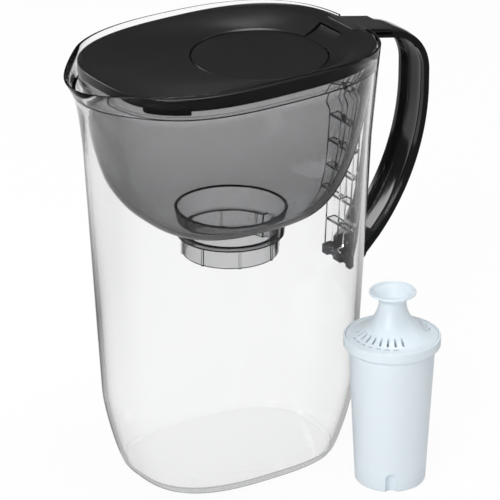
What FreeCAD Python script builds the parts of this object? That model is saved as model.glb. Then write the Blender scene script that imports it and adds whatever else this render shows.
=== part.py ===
# Water filter pitcher: clear oval tank with a strap handle, a smoked reservoir
# that hangs in it, a dished lid with a thumb operated refill flap, and the
# filter cartridge standing beside it.
# The frame has its origin at the middle of the tank's foot. +Z is up, the
# spout points along -X and the handle along +X. Lengths are millimetres.
import FreeCAD, Part
import math
import os

Vector = FreeCAD.Vector
UP = Vector(0, 0, 1)
ACROSS = Vector(0, 1, 0)

# Clearances and construction
overrun = 6.0
fit_gap = 0.4
seat_gap = 0.2
outline_points = 48
oval_fullness_share = 2.8
round_fullness_share = 2.0

# Tank
tank_height = 265.0
rim_half_length = 90.7
rim_half_width = 65.7
crown_radius = 1385.0
crown_x = -22.0
shoulder_height = 205.0
shoulder_half_length = 85.3
shoulder_half_width = 62.2
knee_height = 48.0
knee_half_length = 77.0
knee_half_width = 56.0
knee_shift = 0.7
foot_half_length = 63.2
foot_half_width = 46.1
foot_curve_share = 1.26
foot_level_shares = (0.0, 0.1, 0.25, 0.45, 0.7)
wall_level_shares = (0.0, 0.25, 0.5, 0.72, 0.86, 1.0)
tank_wall = 2.8
tank_floor = 3.6
lip_wall = 1.4
ledge_drop = 16.5
spout_depth = 60.0
spout_reach = 19.7
spout_half_width = 49.0
spout_dip = 5.0
spout_dip_run = 46.0

# Handle strap, its profile lies in the XZ plane
handle_reach = 138.0
handle_half_width = 13.0
handle_depth = 5.0
handle_wall = 2.3
handle_hem = 2.6
handle_edge_radius = 1.8
handle_top_slope = math.radians(11.3)
handle_corner_radius = 31.0
handle_corner_drop = 41.5
handle_upright = 9.5
handle_sweep_radius = 135.0
handle_sweep = math.radians(48.5)
handle_hollow_end = math.radians(6.0)

# Handle bracket and the foot of the handle under it
bracket_half_width = 14.0
bracket_depth = 8.0
bracket_web = 2.6
bracket_rib_count = 5
foot_plate_half_width = 16.4
foot_plate_height = 6.0
foot_plate_depth = 6.2
foot_notch_width = 6.0
foot_notch_depth = 3.6
foot_notch_place = 7.4

# Reservoir
reservoir_wall = 2.0
reservoir_depth = 88.0
reservoir_curve_share = 2.2
reservoir_level_shares = (0.0, 0.22, 0.42, 0.6, 0.75, 0.87, 0.95, 1.0)
reservoir_floor_half_length = 42.0
reservoir_floor_half_width = 38.6
flange_thickness = 2.0
band_height = 6.2
band_wall = 1.7

# Filter cartridge
cartridge_x = 61.0
cartridge_y = -83.0
cartridge_height = 123.0
cartridge_bottom_radius = 21.2
cartridge_top_radius = 25.6
cartridge_corner = 2.0
cartridge_wall = 1.5
cartridge_flange_radius = 29.0
cartridge_flange_level = 88.5
cartridge_flange_slope = 2.6
cartridge_flange_height = 6.2
cartridge_lip_wall = 1.3
cartridge_turn = math.radians(236.0)
key_width = 7.4
key_height = 12.6
outlet_count = 8
outlet_width = 2.4
outlet_inner_radius = 6.0
outlet_outer_radius = 14.0
screen_thickness = 0.8
media_headroom = 3.0
cap_base = 2.0
cap_wall = 1.6
cap_neck_radius = 8.1
cap_neck_drop = 7.4
cap_funnel_radius = 14.0
cap_funnel_rim = 1.2
cap_bell_radius = 24.6
cap_bell_bend_share = 0.3
cap_funnel_bend_share = 0.35
cap_turn = math.radians(201.0)
slot_count = 9
slot_pitch = math.radians(13.0)
slot_width = 1.3
slot_inner_radius = 16.6
slot_outer_radius = 21.2
dash_count = 7
dash_radius = 23.2
dash_width = 1.0
dash_length = 3.0

# Collar of the reservoir, which takes the cartridge
collar_x = 1.0
collar_depth = 28.4
collar_sleeve_length = 14.0
collar_wall = 1.9
collar_seat_gap = 1.2
collar_mouth_flare = 1.7
collar_rib_count = 8
collar_rib_width = 1.5
collar_rib_height = 0.9
collar_key_width = 8.0
collar_key_depth = 2.6

# Lid
lid_edge_drop = 2.7
lid_crown_radius = 2150.0
lid_crown_x = -2.4
lid_border = 2.2
lid_bead = 0.25
lid_thickness = 2.2
lid_dish_depth = 8.6
lid_deck_length = 10.0
skirt_wall = 1.8
skirt_length = 1.8
skirt_block_length = 4.4
skirt_front_shift = 78.0
skirt_block_run = 19.0
tongue_thickness = 1.9
tongue_proud = 1.1
tongue_front_inset = 11.0
tongue_reach = 18.5

# Refill flap in the lid
flap_x = 22.4
flap_radius = 40.4
flap_gap = 0.6
flap_thickness = 2.4
flap_sink = 0.5
flap_ledge_width = 2.4
flap_ledge_thickness = 1.8
well_wall = 2.0
lever_half_width = 10.6
lever_length = 9.0
lever_rise = 2.8
lever_scoop_radius = 16.0
lever_scoop_depth = 0.8
hinge_back = 3.4
hinge_sink = 0.9
pin_radius = 1.2
pin_length = 2.0
pin_gap = 0.1
cheek_wall = 2.6

# Levels and outlines that several pieces share
ledge_level = tank_height - ledge_drop
flange_level = ledge_level + seat_gap
band_top = flange_level + band_height
lid_under = band_top + seat_gap
lid_top = tank_height - lid_edge_drop
bowl_floor_level = flange_level - reservoir_depth
dish_level = lid_top - lid_dish_depth
flap_top = dish_level - flap_sink
flap_bottom = flap_top - flap_thickness
hinge_x = flap_x + flap_radius + hinge_back
hinge_level = flap_top - hinge_sink


def blend(start, end, share):
    """The value a share of the way from start to end."""
    return start + (end - start) * share


def crown_drop(x, highest=crown_x, radius=crown_radius):
    """How far a crowned top, the tank's unless said otherwise, has fallen from its highest place."""
    return (x - highest) ** 2 / (2 * radius)


def lid_crown_drop(x):
    return crown_drop(x, lid_crown_x, lid_crown_radius)


def oval_wire(level, half_length, half_width, shift=0.0, nose=0.0, fullness=oval_fullness_share, crowned=False):
    """A closed smooth oval, pulled out at -X by the spout's nose, level or following the lid's crown."""
    points = []
    for index in range(outline_points):
        angle = 2 * math.pi * index / outline_points
        cosine = math.cos(angle)
        sine = math.sin(angle)
        power = (abs(cosine) / half_length) ** fullness + (abs(sine) / half_width) ** fullness
        radius = power ** (-1 / fullness)
        x = radius * cosine
        y = radius * sine
        if x < 0 and abs(y) < spout_half_width:
            x -= nose * math.cos(math.pi * y / (2 * spout_half_width)) ** 2
        points.append(Vector(x + shift, y, level - lid_crown_drop(x + shift) if crowned else level))
    curve = Part.BSplineCurve()
    curve.interpolate(Points=points, PeriodicFlag=True)
    return Part.Wire(curve.toShape())


def prism(wire, height):
    """A straight solid raised from a level outline."""
    return Part.Face(wire).extrude(UP * height)


def oval_slab(bottom, top, half_length, half_width, shift=0.0):
    """A straight oval solid between two levels."""
    return prism(oval_wire(bottom, half_length, half_width, shift), top - bottom)


def box(low, high):
    """A box between two corners."""
    size = high - low
    return Part.makeBox(size.x, size.y, size.z, low)


def disc(x, y, bottom, top, radius):
    """An upright cylinder."""
    return Part.makeCylinder(radius, top - bottom, Vector(x, y, bottom))


def turned(x, y, profile):
    """A solid turned about an upright axis from (radius, level) points and arcs."""
    edges = []
    start = profile[0]
    for item in profile[1:] + profile[:1]:
        end = item[-1] if isinstance(item[0], tuple) else item
        first = Vector(x + start[0], y, start[1])
        last = Vector(x + end[0], y, end[1])
        if isinstance(item[0], tuple):
            middle = Vector(x + item[0][0], y, item[0][1])
            edges.append(Part.Arc(first, middle, last).toShape())
        else:
            edges.append(Part.makeLine(first, last))
        start = end
    face = Part.Face(Part.Wire(edges))
    return face.revolve(Vector(x, y, 0), UP, 360)


def side_prism(points, half_width):
    """A solid of a profile in the XZ plane, as wide to both sides of the middle."""
    corners = [Vector(x, -half_width, z) for x, z in points]
    face = Part.Face(Part.makePolygon(corners + corners[:1]))
    return face.extrude(ACROSS * (2 * half_width))


def tank_plan(level):
    """Half length, half width and shift of the tank's outside at one level."""
    if level >= shoulder_height:
        share = (level - shoulder_height) / (tank_height - shoulder_height)
        return (blend(shoulder_half_length, rim_half_length, share),
                blend(shoulder_half_width, rim_half_width, share), 0.0)
    if level >= knee_height:
        share = (level - knee_height) / (shoulder_height - knee_height)
        return (blend(knee_half_length, shoulder_half_length, share),
                blend(knee_half_width, shoulder_half_width, share),
                blend(knee_shift, 0.0, share))
    share = (knee_height - level) / knee_height
    bend = 1 - (1 - share ** foot_curve_share) ** (1 / foot_curve_share)
    return (blend(knee_half_length, foot_half_length, bend),
            blend(knee_half_width, foot_half_width, bend),
            blend(knee_shift, 0.0, bend))


def spout_nose(level):
    """How far the spout stands out of the oval at one level."""
    rise = max(0.0, level - (tank_height - spout_depth)) / spout_depth
    return spout_reach * rise ** 2


def tank_section(level, inset):
    half_length, half_width, shift = tank_plan(level)
    return oval_wire(level, half_length - inset, half_width - inset, shift, spout_nose(level))


def tank_body(inset, bottom, top):
    """The tank's form between two levels, drawn in by an inset."""
    levels = [knee_height * share for share in foot_level_shares]
    levels += [blend(knee_height, tank_height, share) for share in wall_level_shares]
    inside = [level for level in levels if bottom < level < top]
    sections = [tank_section(level, inset) for level in [bottom] + inside + [top]]
    return Part.makeLoft(sections, True)


def rear_wall(level):
    """Where the outside of the tank's rear wall stands at one level."""
    half_length, half_width, shift = tank_plan(level)
    return half_length + shift


def handle_line(x):
    """Level of the handle's sloping top at one place."""
    corner = handle_corner()
    foot_x = corner.x + handle_corner_radius * math.sin(handle_top_slope)
    foot_z = corner.z + handle_corner_radius * math.cos(handle_top_slope)
    return foot_z - (x - foot_x) * math.tan(handle_top_slope)


def handle_corner():
    """Centre of the handle's upper bend."""
    return Vector(handle_reach - handle_corner_radius, 0, tank_height - handle_corner_drop)


def handle_sweep_centre():
    """Centre of the long lower sweep of the handle."""
    level = tank_height - handle_corner_drop - handle_upright
    return Vector(handle_reach - handle_sweep_radius, 0, level)


def polar(centre, radius, angle):
    return Vector(centre.x + radius * math.cos(angle), centre.y, centre.z + radius * math.sin(angle))


def strap(outer, inner, half_width, bar_start, sweep_end):
    """The strap between two depths under its outer line, from the bar's start to the sweep's end."""
    corner = handle_corner()
    centre = handle_sweep_centre()
    top_angle = math.pi / 2 - handle_top_slope
    along = Vector(math.cos(handle_top_slope), 0, -math.sin(handle_top_slope))

    def line_of(depth):
        bend = handle_corner_radius - depth
        sweep = handle_sweep_radius - depth
        upper = polar(corner, bend, top_angle)
        start = upper - along * ((upper.x - bar_start) / along.x)
        side = polar(corner, bend, 0)
        lower = polar(centre, sweep, 0)
        end = polar(centre, sweep, -sweep_end)
        return [Part.makeLine(start, upper),
                Part.Arc(upper, polar(corner, bend, top_angle / 2), side).toShape(),
                Part.makeLine(side, lower),
                Part.Arc(lower, polar(centre, sweep, -sweep_end / 2), end).toShape()]

    outside = line_of(outer)
    inside = line_of(inner)
    ends = [Part.makeLine(outside[-1].Vertexes[-1].Point, inside[-1].Vertexes[-1].Point),
            Part.makeLine(inside[0].Vertexes[0].Point, outside[0].Vertexes[0].Point)]
    edges = outside + ends[:1] + inside[::-1] + ends[1:]
    face = Part.Face(Part.Wire(Part.__sortEdges__(edges)))
    face.translate(Vector(0, -half_width, 0))
    return face.extrude(ACROSS * (2 * half_width))


def tongue_end():
    """Where the lid's tongue stops on the handle."""
    return rim_half_length + tongue_reach


def over_crown(drop, highest, radius):
    """The room above a crowned top, from a drop under the tank's height."""
    reach = rim_half_length + spout_reach + overrun
    wide = rim_half_width + overrun
    high = tank_height + overrun
    front, middle, rear = [Vector(x, -wide, tank_height - drop - crown_drop(x, highest, radius))
                           for x in (-reach, highest, reach)]
    edges = [Part.Arc(front, middle, rear).toShape(), Part.makeLine(rear, Vector(reach, -wide, high)),
             Part.makeLine(Vector(reach, -wide, high), Vector(-reach, -wide, high)),
             Part.makeLine(Vector(-reach, -wide, high), front)]
    return Part.Face(Part.Wire(edges)).extrude(ACROSS * (2 * wide))


def make_tank():
    shell = tank_body(0.0, 0.0, tank_height)
    shell = shell.cut(tank_body(tank_wall, tank_floor, ledge_level))
    shell = shell.cut(tank_body(lip_wall, ledge_level, tank_height + overrun))
    tip = rim_half_length + spout_reach
    dip_start = -tip + spout_dip_run
    dip_end = -tip - overrun
    dip_slope = spout_dip / spout_dip_run
    dip = side_prism([(dip_start, tank_height),
                      (dip_end, tank_height - dip_slope * (dip_start - dip_end)),
                      (dip_end, tank_height + overrun),
                      (dip_start, tank_height + overrun)], rim_half_width + overrun)
    under_tongue = handle_line(rim_half_length) - tongue_thickness - seat_gap
    notch_half_width = handle_half_width + fit_gap
    notch = box(Vector(rim_half_length - overrun, -notch_half_width, under_tongue - fit_gap),
                Vector(rim_half_length + overrun, notch_half_width, tank_height + overrun))
    return shell.cut(over_crown(0.0, crown_x, crown_radius)).cut(dip).cut(notch)


def foot_plate_top():
    """Level of the shelf on the handle's foot that carries the bracket."""
    return polar(handle_sweep_centre(), handle_sweep_radius, -handle_sweep).z


def make_handle():
    bar_start = rear_wall(handle_line(rim_half_length)) + seat_gap
    body = strap(0.0, handle_depth, handle_half_width, bar_start, handle_sweep)
    outer_edges = [edge for edge in body.Edges if on_strap_outside(edge)]
    body = body.makeFillet(handle_edge_radius, outer_edges)
    hollow = strap(handle_wall, handle_depth + overrun, handle_half_width - handle_hem,
                   tongue_end(), handle_sweep - handle_hollow_end)
    body = body.cut(hollow)
    recess = side_prism([(bar_start - overrun, handle_line(bar_start - overrun) - tongue_thickness - seat_gap),
                         (tongue_end() + seat_gap,
                          handle_line(tongue_end() + seat_gap) - tongue_thickness - seat_gap),
                         (tongue_end() + seat_gap, tank_height + overrun),
                         (bar_start - overrun, tank_height + overrun)], handle_half_width + overrun)
    body = body.cut(recess)
    return body.fuse(handle_foot()).removeSplitter()


def on_strap_outside(edge):
    """True for the edges along both sides of the strap's outer line."""
    middle = edge.valueAt((edge.FirstParameter + edge.LastParameter) / 2)
    if abs(abs(middle.y) - handle_half_width) > fit_gap:
        return False
    corner = handle_corner()
    centre = handle_sweep_centre()
    on_bend = abs(math.hypot(middle.x - corner.x, middle.z - corner.z) - handle_corner_radius) < fit_gap
    on_sweep = abs(math.hypot(middle.x - centre.x, middle.z - centre.z) - handle_sweep_radius) < fit_gap
    on_upright = abs(middle.x - handle_reach) < fit_gap
    on_bar = abs(middle.z - handle_line(middle.x)) < fit_gap
    return on_bend or on_sweep or on_upright or on_bar


def handle_foot():
    """The notched plate under the bracket, and the root that joins it to the strap."""
    shelf = foot_plate_top()
    low = shelf - foot_plate_height
    end = polar(handle_sweep_centre(), handle_sweep_radius, -handle_sweep)
    back = rear_wall(shelf) + seat_gap
    plate_end = back + foot_plate_depth
    plate = box(Vector(back, -foot_plate_half_width, low), Vector(plate_end, foot_plate_half_width, shelf))
    for side in (-1, 1):
        middle = side * foot_notch_place
        plate = plate.cut(box(Vector(back - overrun, middle - foot_notch_width / 2, low - overrun),
                              Vector(back + bracket_web, middle + foot_notch_width / 2, low + foot_notch_depth)))
    inner = polar(handle_sweep_centre(), handle_sweep_radius - handle_depth, -handle_sweep)
    root_low = end.z - (end.x - plate_end) / math.tan(handle_sweep)
    root = side_prism([(inner.x, shelf), (plate_end, shelf), (plate_end, root_low), (end.x, end.z),
                       (inner.x, inner.z)], handle_half_width)
    return plate.fuse(root)


def make_handle_bracket(tank_outside):
    """A clear box moulding on the rear wall, open towards the wall, with cross ribs."""
    bottom = foot_plate_top() + seat_gap
    top = handle_line(rear_wall(tank_height) + bracket_depth) - handle_depth - bracket_web
    front = rear_wall(bottom) - overrun

    def block(half_width, depth, low, high):
        return side_prism([(front, low), (rear_wall(low) + depth, low),
                           (rear_wall(high) + depth, high), (front, high)], half_width)

    body = block(bracket_half_width, bracket_depth, bottom, top)
    pitch = (top - bottom - bracket_web) / bracket_rib_count
    for index in range(bracket_rib_count):
        low = bottom + bracket_web + pitch * index
        high = low + pitch - bracket_web
        body = body.cut(block(bracket_half_width - bracket_web, bracket_depth - bracket_web, low, high))
    strap_room = strap(-seat_gap, handle_depth + seat_gap, handle_half_width + seat_gap,
                       rear_wall(tank_height), handle_sweep)
    return body.cut(tank_outside).cut(strap_room)


def bowl_section(share, inset, lift):
    """Outline of the bowl a share of the way down, drawn in by the wall."""
    half_length, half_width, shift = tank_plan(blend(flange_level, bowl_floor_level, share))
    room = tank_wall + fit_gap
    round_share = (1 - share ** reservoir_curve_share) ** (1 / reservoir_curve_share)
    return oval_wire(blend(flange_level, bowl_floor_level + lift, share),
                     blend(reservoir_floor_half_length, half_length - room, round_share) - inset,
                     blend(reservoir_floor_half_width, half_width - room, round_share) - inset)


def bowl(inset, lift):
    return Part.makeLoft([bowl_section(share, inset, lift) for share in reservoir_level_shares], True)


def band_plan(inset):
    """Half length and half width of the reservoir's upright band, drawn in by an inset."""
    half_length, half_width, shift = tank_plan(ledge_level)
    return half_length - lip_wall - 2 * fit_gap - inset, half_width - lip_wall - 2 * fit_gap - inset


def collar_levels():
    """Top of the collar, its seat for the cartridge and the bottom of its sleeve."""
    top = bowl_floor_level + reservoir_wall
    bottom = top - collar_depth
    return top, bottom + collar_sleeve_length, bottom


def sleeve_radius():
    return cartridge_top_radius + collar_seat_gap


def make_reservoir():
    flange_half_length, flange_half_width = band_plan(-fit_gap)
    band_half_length, band_half_width = band_plan(0.0)
    body = bowl(0.0, 0.0)
    body = body.fuse(oval_slab(flange_level, flange_level + flange_thickness,
                               flange_half_length, flange_half_width))
    body = body.fuse(oval_slab(flange_level, band_top, band_half_length, band_half_width))
    body = body.cut(bowl(reservoir_wall, reservoir_wall))
    inner_half_length, inner_half_width = band_plan(band_wall)
    body = body.cut(oval_slab(flange_level, band_top + overrun, inner_half_length, inner_half_width))
    outside, bore = collar_solids()
    return body.fuse(outside).cut(bore).removeSplitter()


def collar_solids():
    """The collar's outside with its ribs and key pocket, and the room inside it."""
    top, seat, bottom = collar_levels()
    sleeve = sleeve_radius()
    seat_radius = cartridge_flange_radius + collar_seat_gap
    mouth_radius = seat_radius + collar_mouth_flare
    outside = turned(collar_x, 0.0, [(0.0, bottom), (sleeve + collar_wall, bottom),
                                     (sleeve + collar_wall, seat - collar_wall),
                                     (seat_radius + collar_wall, seat - collar_wall),
                                     (mouth_radius + collar_wall, top), (0.0, top)])
    for index in range(collar_rib_count):
        angle = 2 * math.pi * (index + 1 / 2) / collar_rib_count
        rib = box(Vector(0, -collar_rib_width / 2, bottom),
                  Vector(sleeve + collar_wall + collar_rib_height, collar_rib_width / 2, seat - collar_wall))
        rib.rotate(Vector(0, 0, 0), UP, math.degrees(angle))
        rib.translate(Vector(collar_x, 0, 0))
        outside = outside.fuse(rib)
    key = box(Vector(collar_x, -collar_key_width / 2, seat),
              Vector(collar_x + mouth_radius + collar_key_depth, collar_key_width / 2, top + overrun))
    key_wall = box(Vector(collar_x, -collar_key_width / 2 - collar_wall, seat - collar_wall),
                   Vector(collar_x + mouth_radius + collar_key_depth + collar_wall,
                          collar_key_width / 2 + collar_wall, top))
    bore = turned(collar_x, 0.0, [(0.0, bottom - overrun), (sleeve, bottom - overrun), (sleeve, seat),
                                  (seat_radius, seat), (mouth_radius, top),
                                  (mouth_radius, top + overrun), (0.0, top + overrun)])
    return outside.fuse(key_wall), bore.fuse(key)


def dish_sheet(half_length, half_width, radius):
    """The underside of the lid's dish, from the crowned border down to the round refill opening."""
    border = oval_wire(lid_top - lid_bead - lid_thickness, half_length - lid_deck_length / 2, half_width,
                       -lid_deck_length / 2, crowned=True)
    opening = oval_wire(dish_level - lid_thickness, radius, radius, flap_x, 0.0, round_fullness_share)
    return Part.makeRuledSurface(border.Edges[0], opening.Edges[0])


def rear_deck(half_length, half_width):
    """The part of the lid's top behind the dish, inside the border."""
    low = lid_top - lid_crown_drop(half_length) - lid_thickness
    inside = oval_slab(low, tank_height, half_length - lid_border - lid_deck_length / 2, half_width - lid_border,
                       -lid_deck_length / 2)
    return oval_slab(low, tank_height, half_length, half_width).cut(inside)


def make_lid():
    half_length, half_width, shift = tank_plan(lid_under)
    edge_half_length = half_length - lip_wall - fit_gap
    edge_half_width = half_width - lip_wall - fit_gap
    skirt_half_length, skirt_half_width = band_plan(band_wall + fit_gap)
    opening = flap_radius + flap_gap
    ledge_bottom = flap_bottom - seat_gap - flap_ledge_thickness
    sheet = dish_sheet(edge_half_length - lid_border, edge_half_width - lid_border, opening + well_wall / 4)

    body = oval_slab(lid_under, tank_height, edge_half_length, edge_half_width)
    body = body.cut(oval_slab(lid_under, tank_height, skirt_half_length - skirt_wall, skirt_half_width - skirt_wall))
    body = body.fuse(lid_skirt(skirt_half_length, skirt_half_width))
    body = body.fuse(rear_deck(edge_half_length - lid_border, edge_half_width - lid_border))
    body = body.fuse(sheet.extrude(UP * lid_thickness))
    body = body.fuse(disc(flap_x, 0.0, ledge_bottom, dish_level, opening + well_wall))
    body = body.fuse(hinge_cheeks(ledge_bottom))
    sheet.translate(UP * lid_thickness)
    body = body.cut(sheet.extrude(UP * lid_dish_depth * 2))
    body = body.cut(over_crown(lid_edge_drop, lid_crown_x, lid_crown_radius))
    body = body.cut(disc(flap_x, 0.0, flap_bottom - seat_gap, lid_top + overrun, opening))
    body = body.cut(disc(flap_x, 0.0, ledge_bottom - overrun, lid_top, flap_radius - flap_ledge_width))
    body = body.cut(lever_channel(ledge_bottom))
    return body.fuse(lid_tongue(edge_half_length)).removeSplitter()


def lid_skirt(half_length, half_width):
    """The wall under the lid's edge: open before the spout, with deeper ends beside it."""
    low = lid_under - skirt_length
    ring = oval_slab(low, lid_under + skirt_wall, half_length, half_width)
    ring = ring.cut(oval_slab(low, lid_under + skirt_wall, half_length - skirt_wall, half_width - skirt_wall))
    wide = rim_half_width + overrun
    ring = ring.common(box(Vector(-skirt_front_shift, -wide, low),
                           Vector(half_length + overrun, wide, lid_under + skirt_wall)))
    return ring.fuse(skirt_blocks(half_length, half_width))


def skirt_blocks(skirt_half_length, skirt_half_width):
    """The deeper ends of the skirt at both sides of the spout."""
    low = lid_under - skirt_block_length
    ring = oval_slab(low, lid_under, skirt_half_length, skirt_half_width)
    ring = ring.cut(oval_slab(low, lid_under, skirt_half_length - skirt_wall, skirt_half_width - skirt_wall))
    wide = rim_half_width + overrun
    return ring.common(box(Vector(-skirt_front_shift, -wide, low),
                           Vector(-skirt_front_shift + skirt_block_run, wide, lid_under)))


def lever_end():
    """Where the channel for the thumb lever ends."""
    return hinge_x + math.hypot(lever_length, lever_rise + hinge_sink) + flap_gap


def hinge_cheeks(bottom):
    """Walls round the lever's channel that carry the hinge pins."""
    outer = lever_half_width + fit_gap + cheek_wall
    return box(Vector(flap_x + flap_radius + seat_gap, -outer, bottom),
               Vector(lever_end() + cheek_wall, outer, lid_top))


def lever_channel(bottom):
    """Room for the thumb lever, and the holes for its pins."""
    half_width = lever_half_width + fit_gap
    room = box(Vector(flap_x + flap_radius - overrun, -half_width, bottom - overrun),
               Vector(lever_end(), half_width, lid_top + overrun))
    length = 2 * (lever_half_width + pin_length + fit_gap)
    hole = Part.makeCylinder(pin_radius + pin_gap, length,
                             Vector(hinge_x, -length / 2, hinge_level), ACROSS)
    return room.fuse(hole)


def lid_tongue(edge_half_length):
    """The rear pad that covers the start of the handle."""
    front = rim_half_length - tongue_front_inset
    end = tongue_end()
    under = lid_top - lid_crown_drop(edge_half_length) - tongue_thickness
    return side_prism([(front, handle_line(front) + tongue_proud), (front, under),
                       (edge_half_length, handle_line(edge_half_length) - tongue_thickness),
                       (end, handle_line(end) - tongue_thickness),
                       (end, handle_line(end) + tongue_proud)], handle_half_width)


def make_refill_flap():
    plate = disc(flap_x, 0.0, flap_bottom, flap_top, flap_radius)
    end = hinge_x + lever_length
    lever = side_prism([(flap_x + flap_radius - overrun, flap_bottom), (end, flap_bottom),
                        (end, flap_top + lever_rise), (flap_x + flap_radius, flap_top)], lever_half_width)
    lean = math.atan2(lever_rise, end - flap_x - flap_radius)
    lift = lever_scoop_radius - lever_scoop_depth
    scoop = Vector(blend(flap_x + flap_radius, end, 1 / 2) - lift * math.sin(lean), -lever_half_width,
                   flap_top + lever_rise / 2 + lift * math.cos(lean))
    lever = lever.cut(Part.makeCylinder(lever_scoop_radius, 2 * lever_half_width, scoop, ACROSS))
    barrel = Part.makeCylinder(flap_thickness, 2 * lever_half_width,
                               Vector(hinge_x, -lever_half_width, hinge_level), ACROSS)
    barrel = barrel.cut(box(Vector(hinge_x - lever_length, -lever_half_width, flap_top),
                            Vector(hinge_x + lever_length, lever_half_width, lid_top)))
    length = 2 * (lever_half_width + pin_length)
    pins = Part.makeCylinder(pin_radius, length, Vector(hinge_x, -length / 2, hinge_level), ACROSS)
    return plate.fuse(lever).fuse(barrel).fuse(pins).removeSplitter()


def cartridge_radius(level):
    """Outside of the cartridge's body at one level."""
    return blend(cartridge_bottom_radius, cartridge_top_radius, level / cartridge_flange_level)


def key_groove(extra):
    """The rounded groove at the foot of the cartridge that a key in the pitcher fits."""
    radius = key_width / 2 + extra
    x = cartridge_x + cartridge_bottom_radius * math.cos(cartridge_turn)
    y = cartridge_y + cartridge_bottom_radius * math.sin(cartridge_turn)
    top = key_height - key_width / 2
    groove = disc(x, y, -overrun, top, radius)
    return groove.fuse(Part.makeSphere(radius, Vector(x, y, top)))


def turn_about_cartridge(shape, angle):
    shape.rotate(Vector(cartridge_x, cartridge_y, 0), UP, math.degrees(angle))
    return shape


def make_cartridge_cup():
    flange = cartridge_flange_level
    lip_top = flange + cartridge_flange_height
    seat = lip_top - cap_base - seat_gap
    outside = turned(cartridge_x, cartridge_y, [
        (0.0, 0.0), (cartridge_bottom_radius - cartridge_corner, 0.0),
        (cartridge_bottom_radius, cartridge_corner),
        (cartridge_top_radius, flange - cartridge_flange_slope),
        (cartridge_flange_radius, flange), (cartridge_flange_radius, lip_top), (0.0, lip_top)])
    inside = cup_inside(cartridge_wall, seat)
    recess = disc(cartridge_x, cartridge_y, seat, lip_top + overrun, cartridge_flange_radius - cartridge_lip_wall)
    body = outside.cut(inside.cut(key_groove(cartridge_wall))).cut(recess).cut(key_groove(0.0))
    for index in range(outlet_count):
        slot = box(Vector(cartridge_x + outlet_inner_radius, cartridge_y - outlet_width / 2, -overrun),
                   Vector(cartridge_x + outlet_outer_radius, cartridge_y + outlet_width / 2, overrun))
        body = body.cut(turn_about_cartridge(slot, cartridge_turn + 2 * math.pi * (index + 1 / 2) / outlet_count))
    return body


def cup_inside(bottom, top, gap=0.0):
    """The room in the cup between two levels, less a gap at the wall."""
    low = cartridge_radius(bottom) - cartridge_wall - gap
    high = cartridge_radius(top) - cartridge_wall - gap
    return turned(cartridge_x, cartridge_y, [(0.0, bottom), (low, bottom), (high, top), (0.0, top)])


def screen_levels():
    """Undersides of the lower and the upper screen."""
    seat = cartridge_flange_level + cartridge_flange_height - cap_base - seat_gap
    return cartridge_wall + seat_gap / 2, seat - media_headroom - screen_thickness


def make_screen(bottom):
    """A mesh disc across the cup."""
    sheet = cup_inside(bottom, bottom + screen_thickness, seat_gap)
    return sheet.cut(key_groove(cartridge_wall + seat_gap))


def make_filter_media():
    low, high = screen_levels()
    fill = cup_inside(low + screen_thickness + seat_gap / 2, high - seat_gap / 2, seat_gap)
    return fill.cut(key_groove(cartridge_wall + seat_gap))


def make_cartridge_cap():
    lip_top = cartridge_flange_level + cartridge_flange_height
    base = lip_top - cap_base
    neck_level = cartridge_height - cap_neck_drop
    rim = cartridge_flange_radius - cartridge_lip_wall - seat_gap
    bell_low = (cap_bell_radius, lip_top)
    bell_mid = (blend(cap_neck_radius, cap_bell_radius, cap_bell_bend_share),
                blend(lip_top, neck_level, cap_bell_bend_share))
    funnel_low = cartridge_height - cap_funnel_rim
    funnel_mid = (blend(cap_neck_radius, cap_funnel_radius, cap_funnel_bend_share),
                  blend(funnel_low, neck_level, cap_funnel_bend_share))
    outside = turned(cartridge_x, cartridge_y, [
        (0.0, base), (rim, base), (rim, lip_top), bell_low, (bell_mid, (cap_neck_radius, neck_level)),
        (funnel_mid, (cap_funnel_radius, funnel_low)), (cap_funnel_radius, cartridge_height),
        (0.0, cartridge_height)])
    bell_room = turned(cartridge_x, cartridge_y, [
        (0.0, base - overrun), (cap_bell_radius - cap_wall, base - overrun), (cap_bell_radius - cap_wall, base),
        ((bell_mid[0] - cap_wall, bell_mid[1] - cap_wall), (cap_neck_radius - cap_wall, neck_level - cap_wall)),
        (0.0, neck_level - cap_wall)])
    funnel_room = turned(cartridge_x, cartridge_y, [
        (0.0, neck_level), (cap_neck_radius - cap_wall, neck_level),
        ((funnel_mid[0] - cap_wall, funnel_mid[1]), (cap_funnel_radius - cap_wall, cartridge_height)),
        (0.0, cartridge_height)])
    body = outside.cut(bell_room).cut(funnel_room)
    slots = []
    for side in (0, 1):
        middle = cap_turn + math.pi * side
        for index in range(slot_count):
            angle = middle + slot_pitch * (index - (slot_count - 1) / 2)
            slots.append(radial_slot(slot_inner_radius, slot_outer_radius, slot_width, angle))
        for index in range(dash_count):
            angle = middle + slot_pitch * (index - (dash_count - 1) / 2)
            slots.append(radial_slot(dash_radius - dash_width / 2, dash_radius + dash_width / 2,
                                     dash_length, angle))
    return body.cut(slots)


def radial_slot(inner, outer, width, angle):
    """An upright slot through the cap, pointing away from its axis."""
    slot = box(Vector(cartridge_x + inner, cartridge_y - width / 2, cartridge_flange_level),
               Vector(cartridge_x + outer, cartridge_y + width / 2, cartridge_height - cap_neck_drop))
    return turn_about_cartridge(slot, angle)


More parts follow.
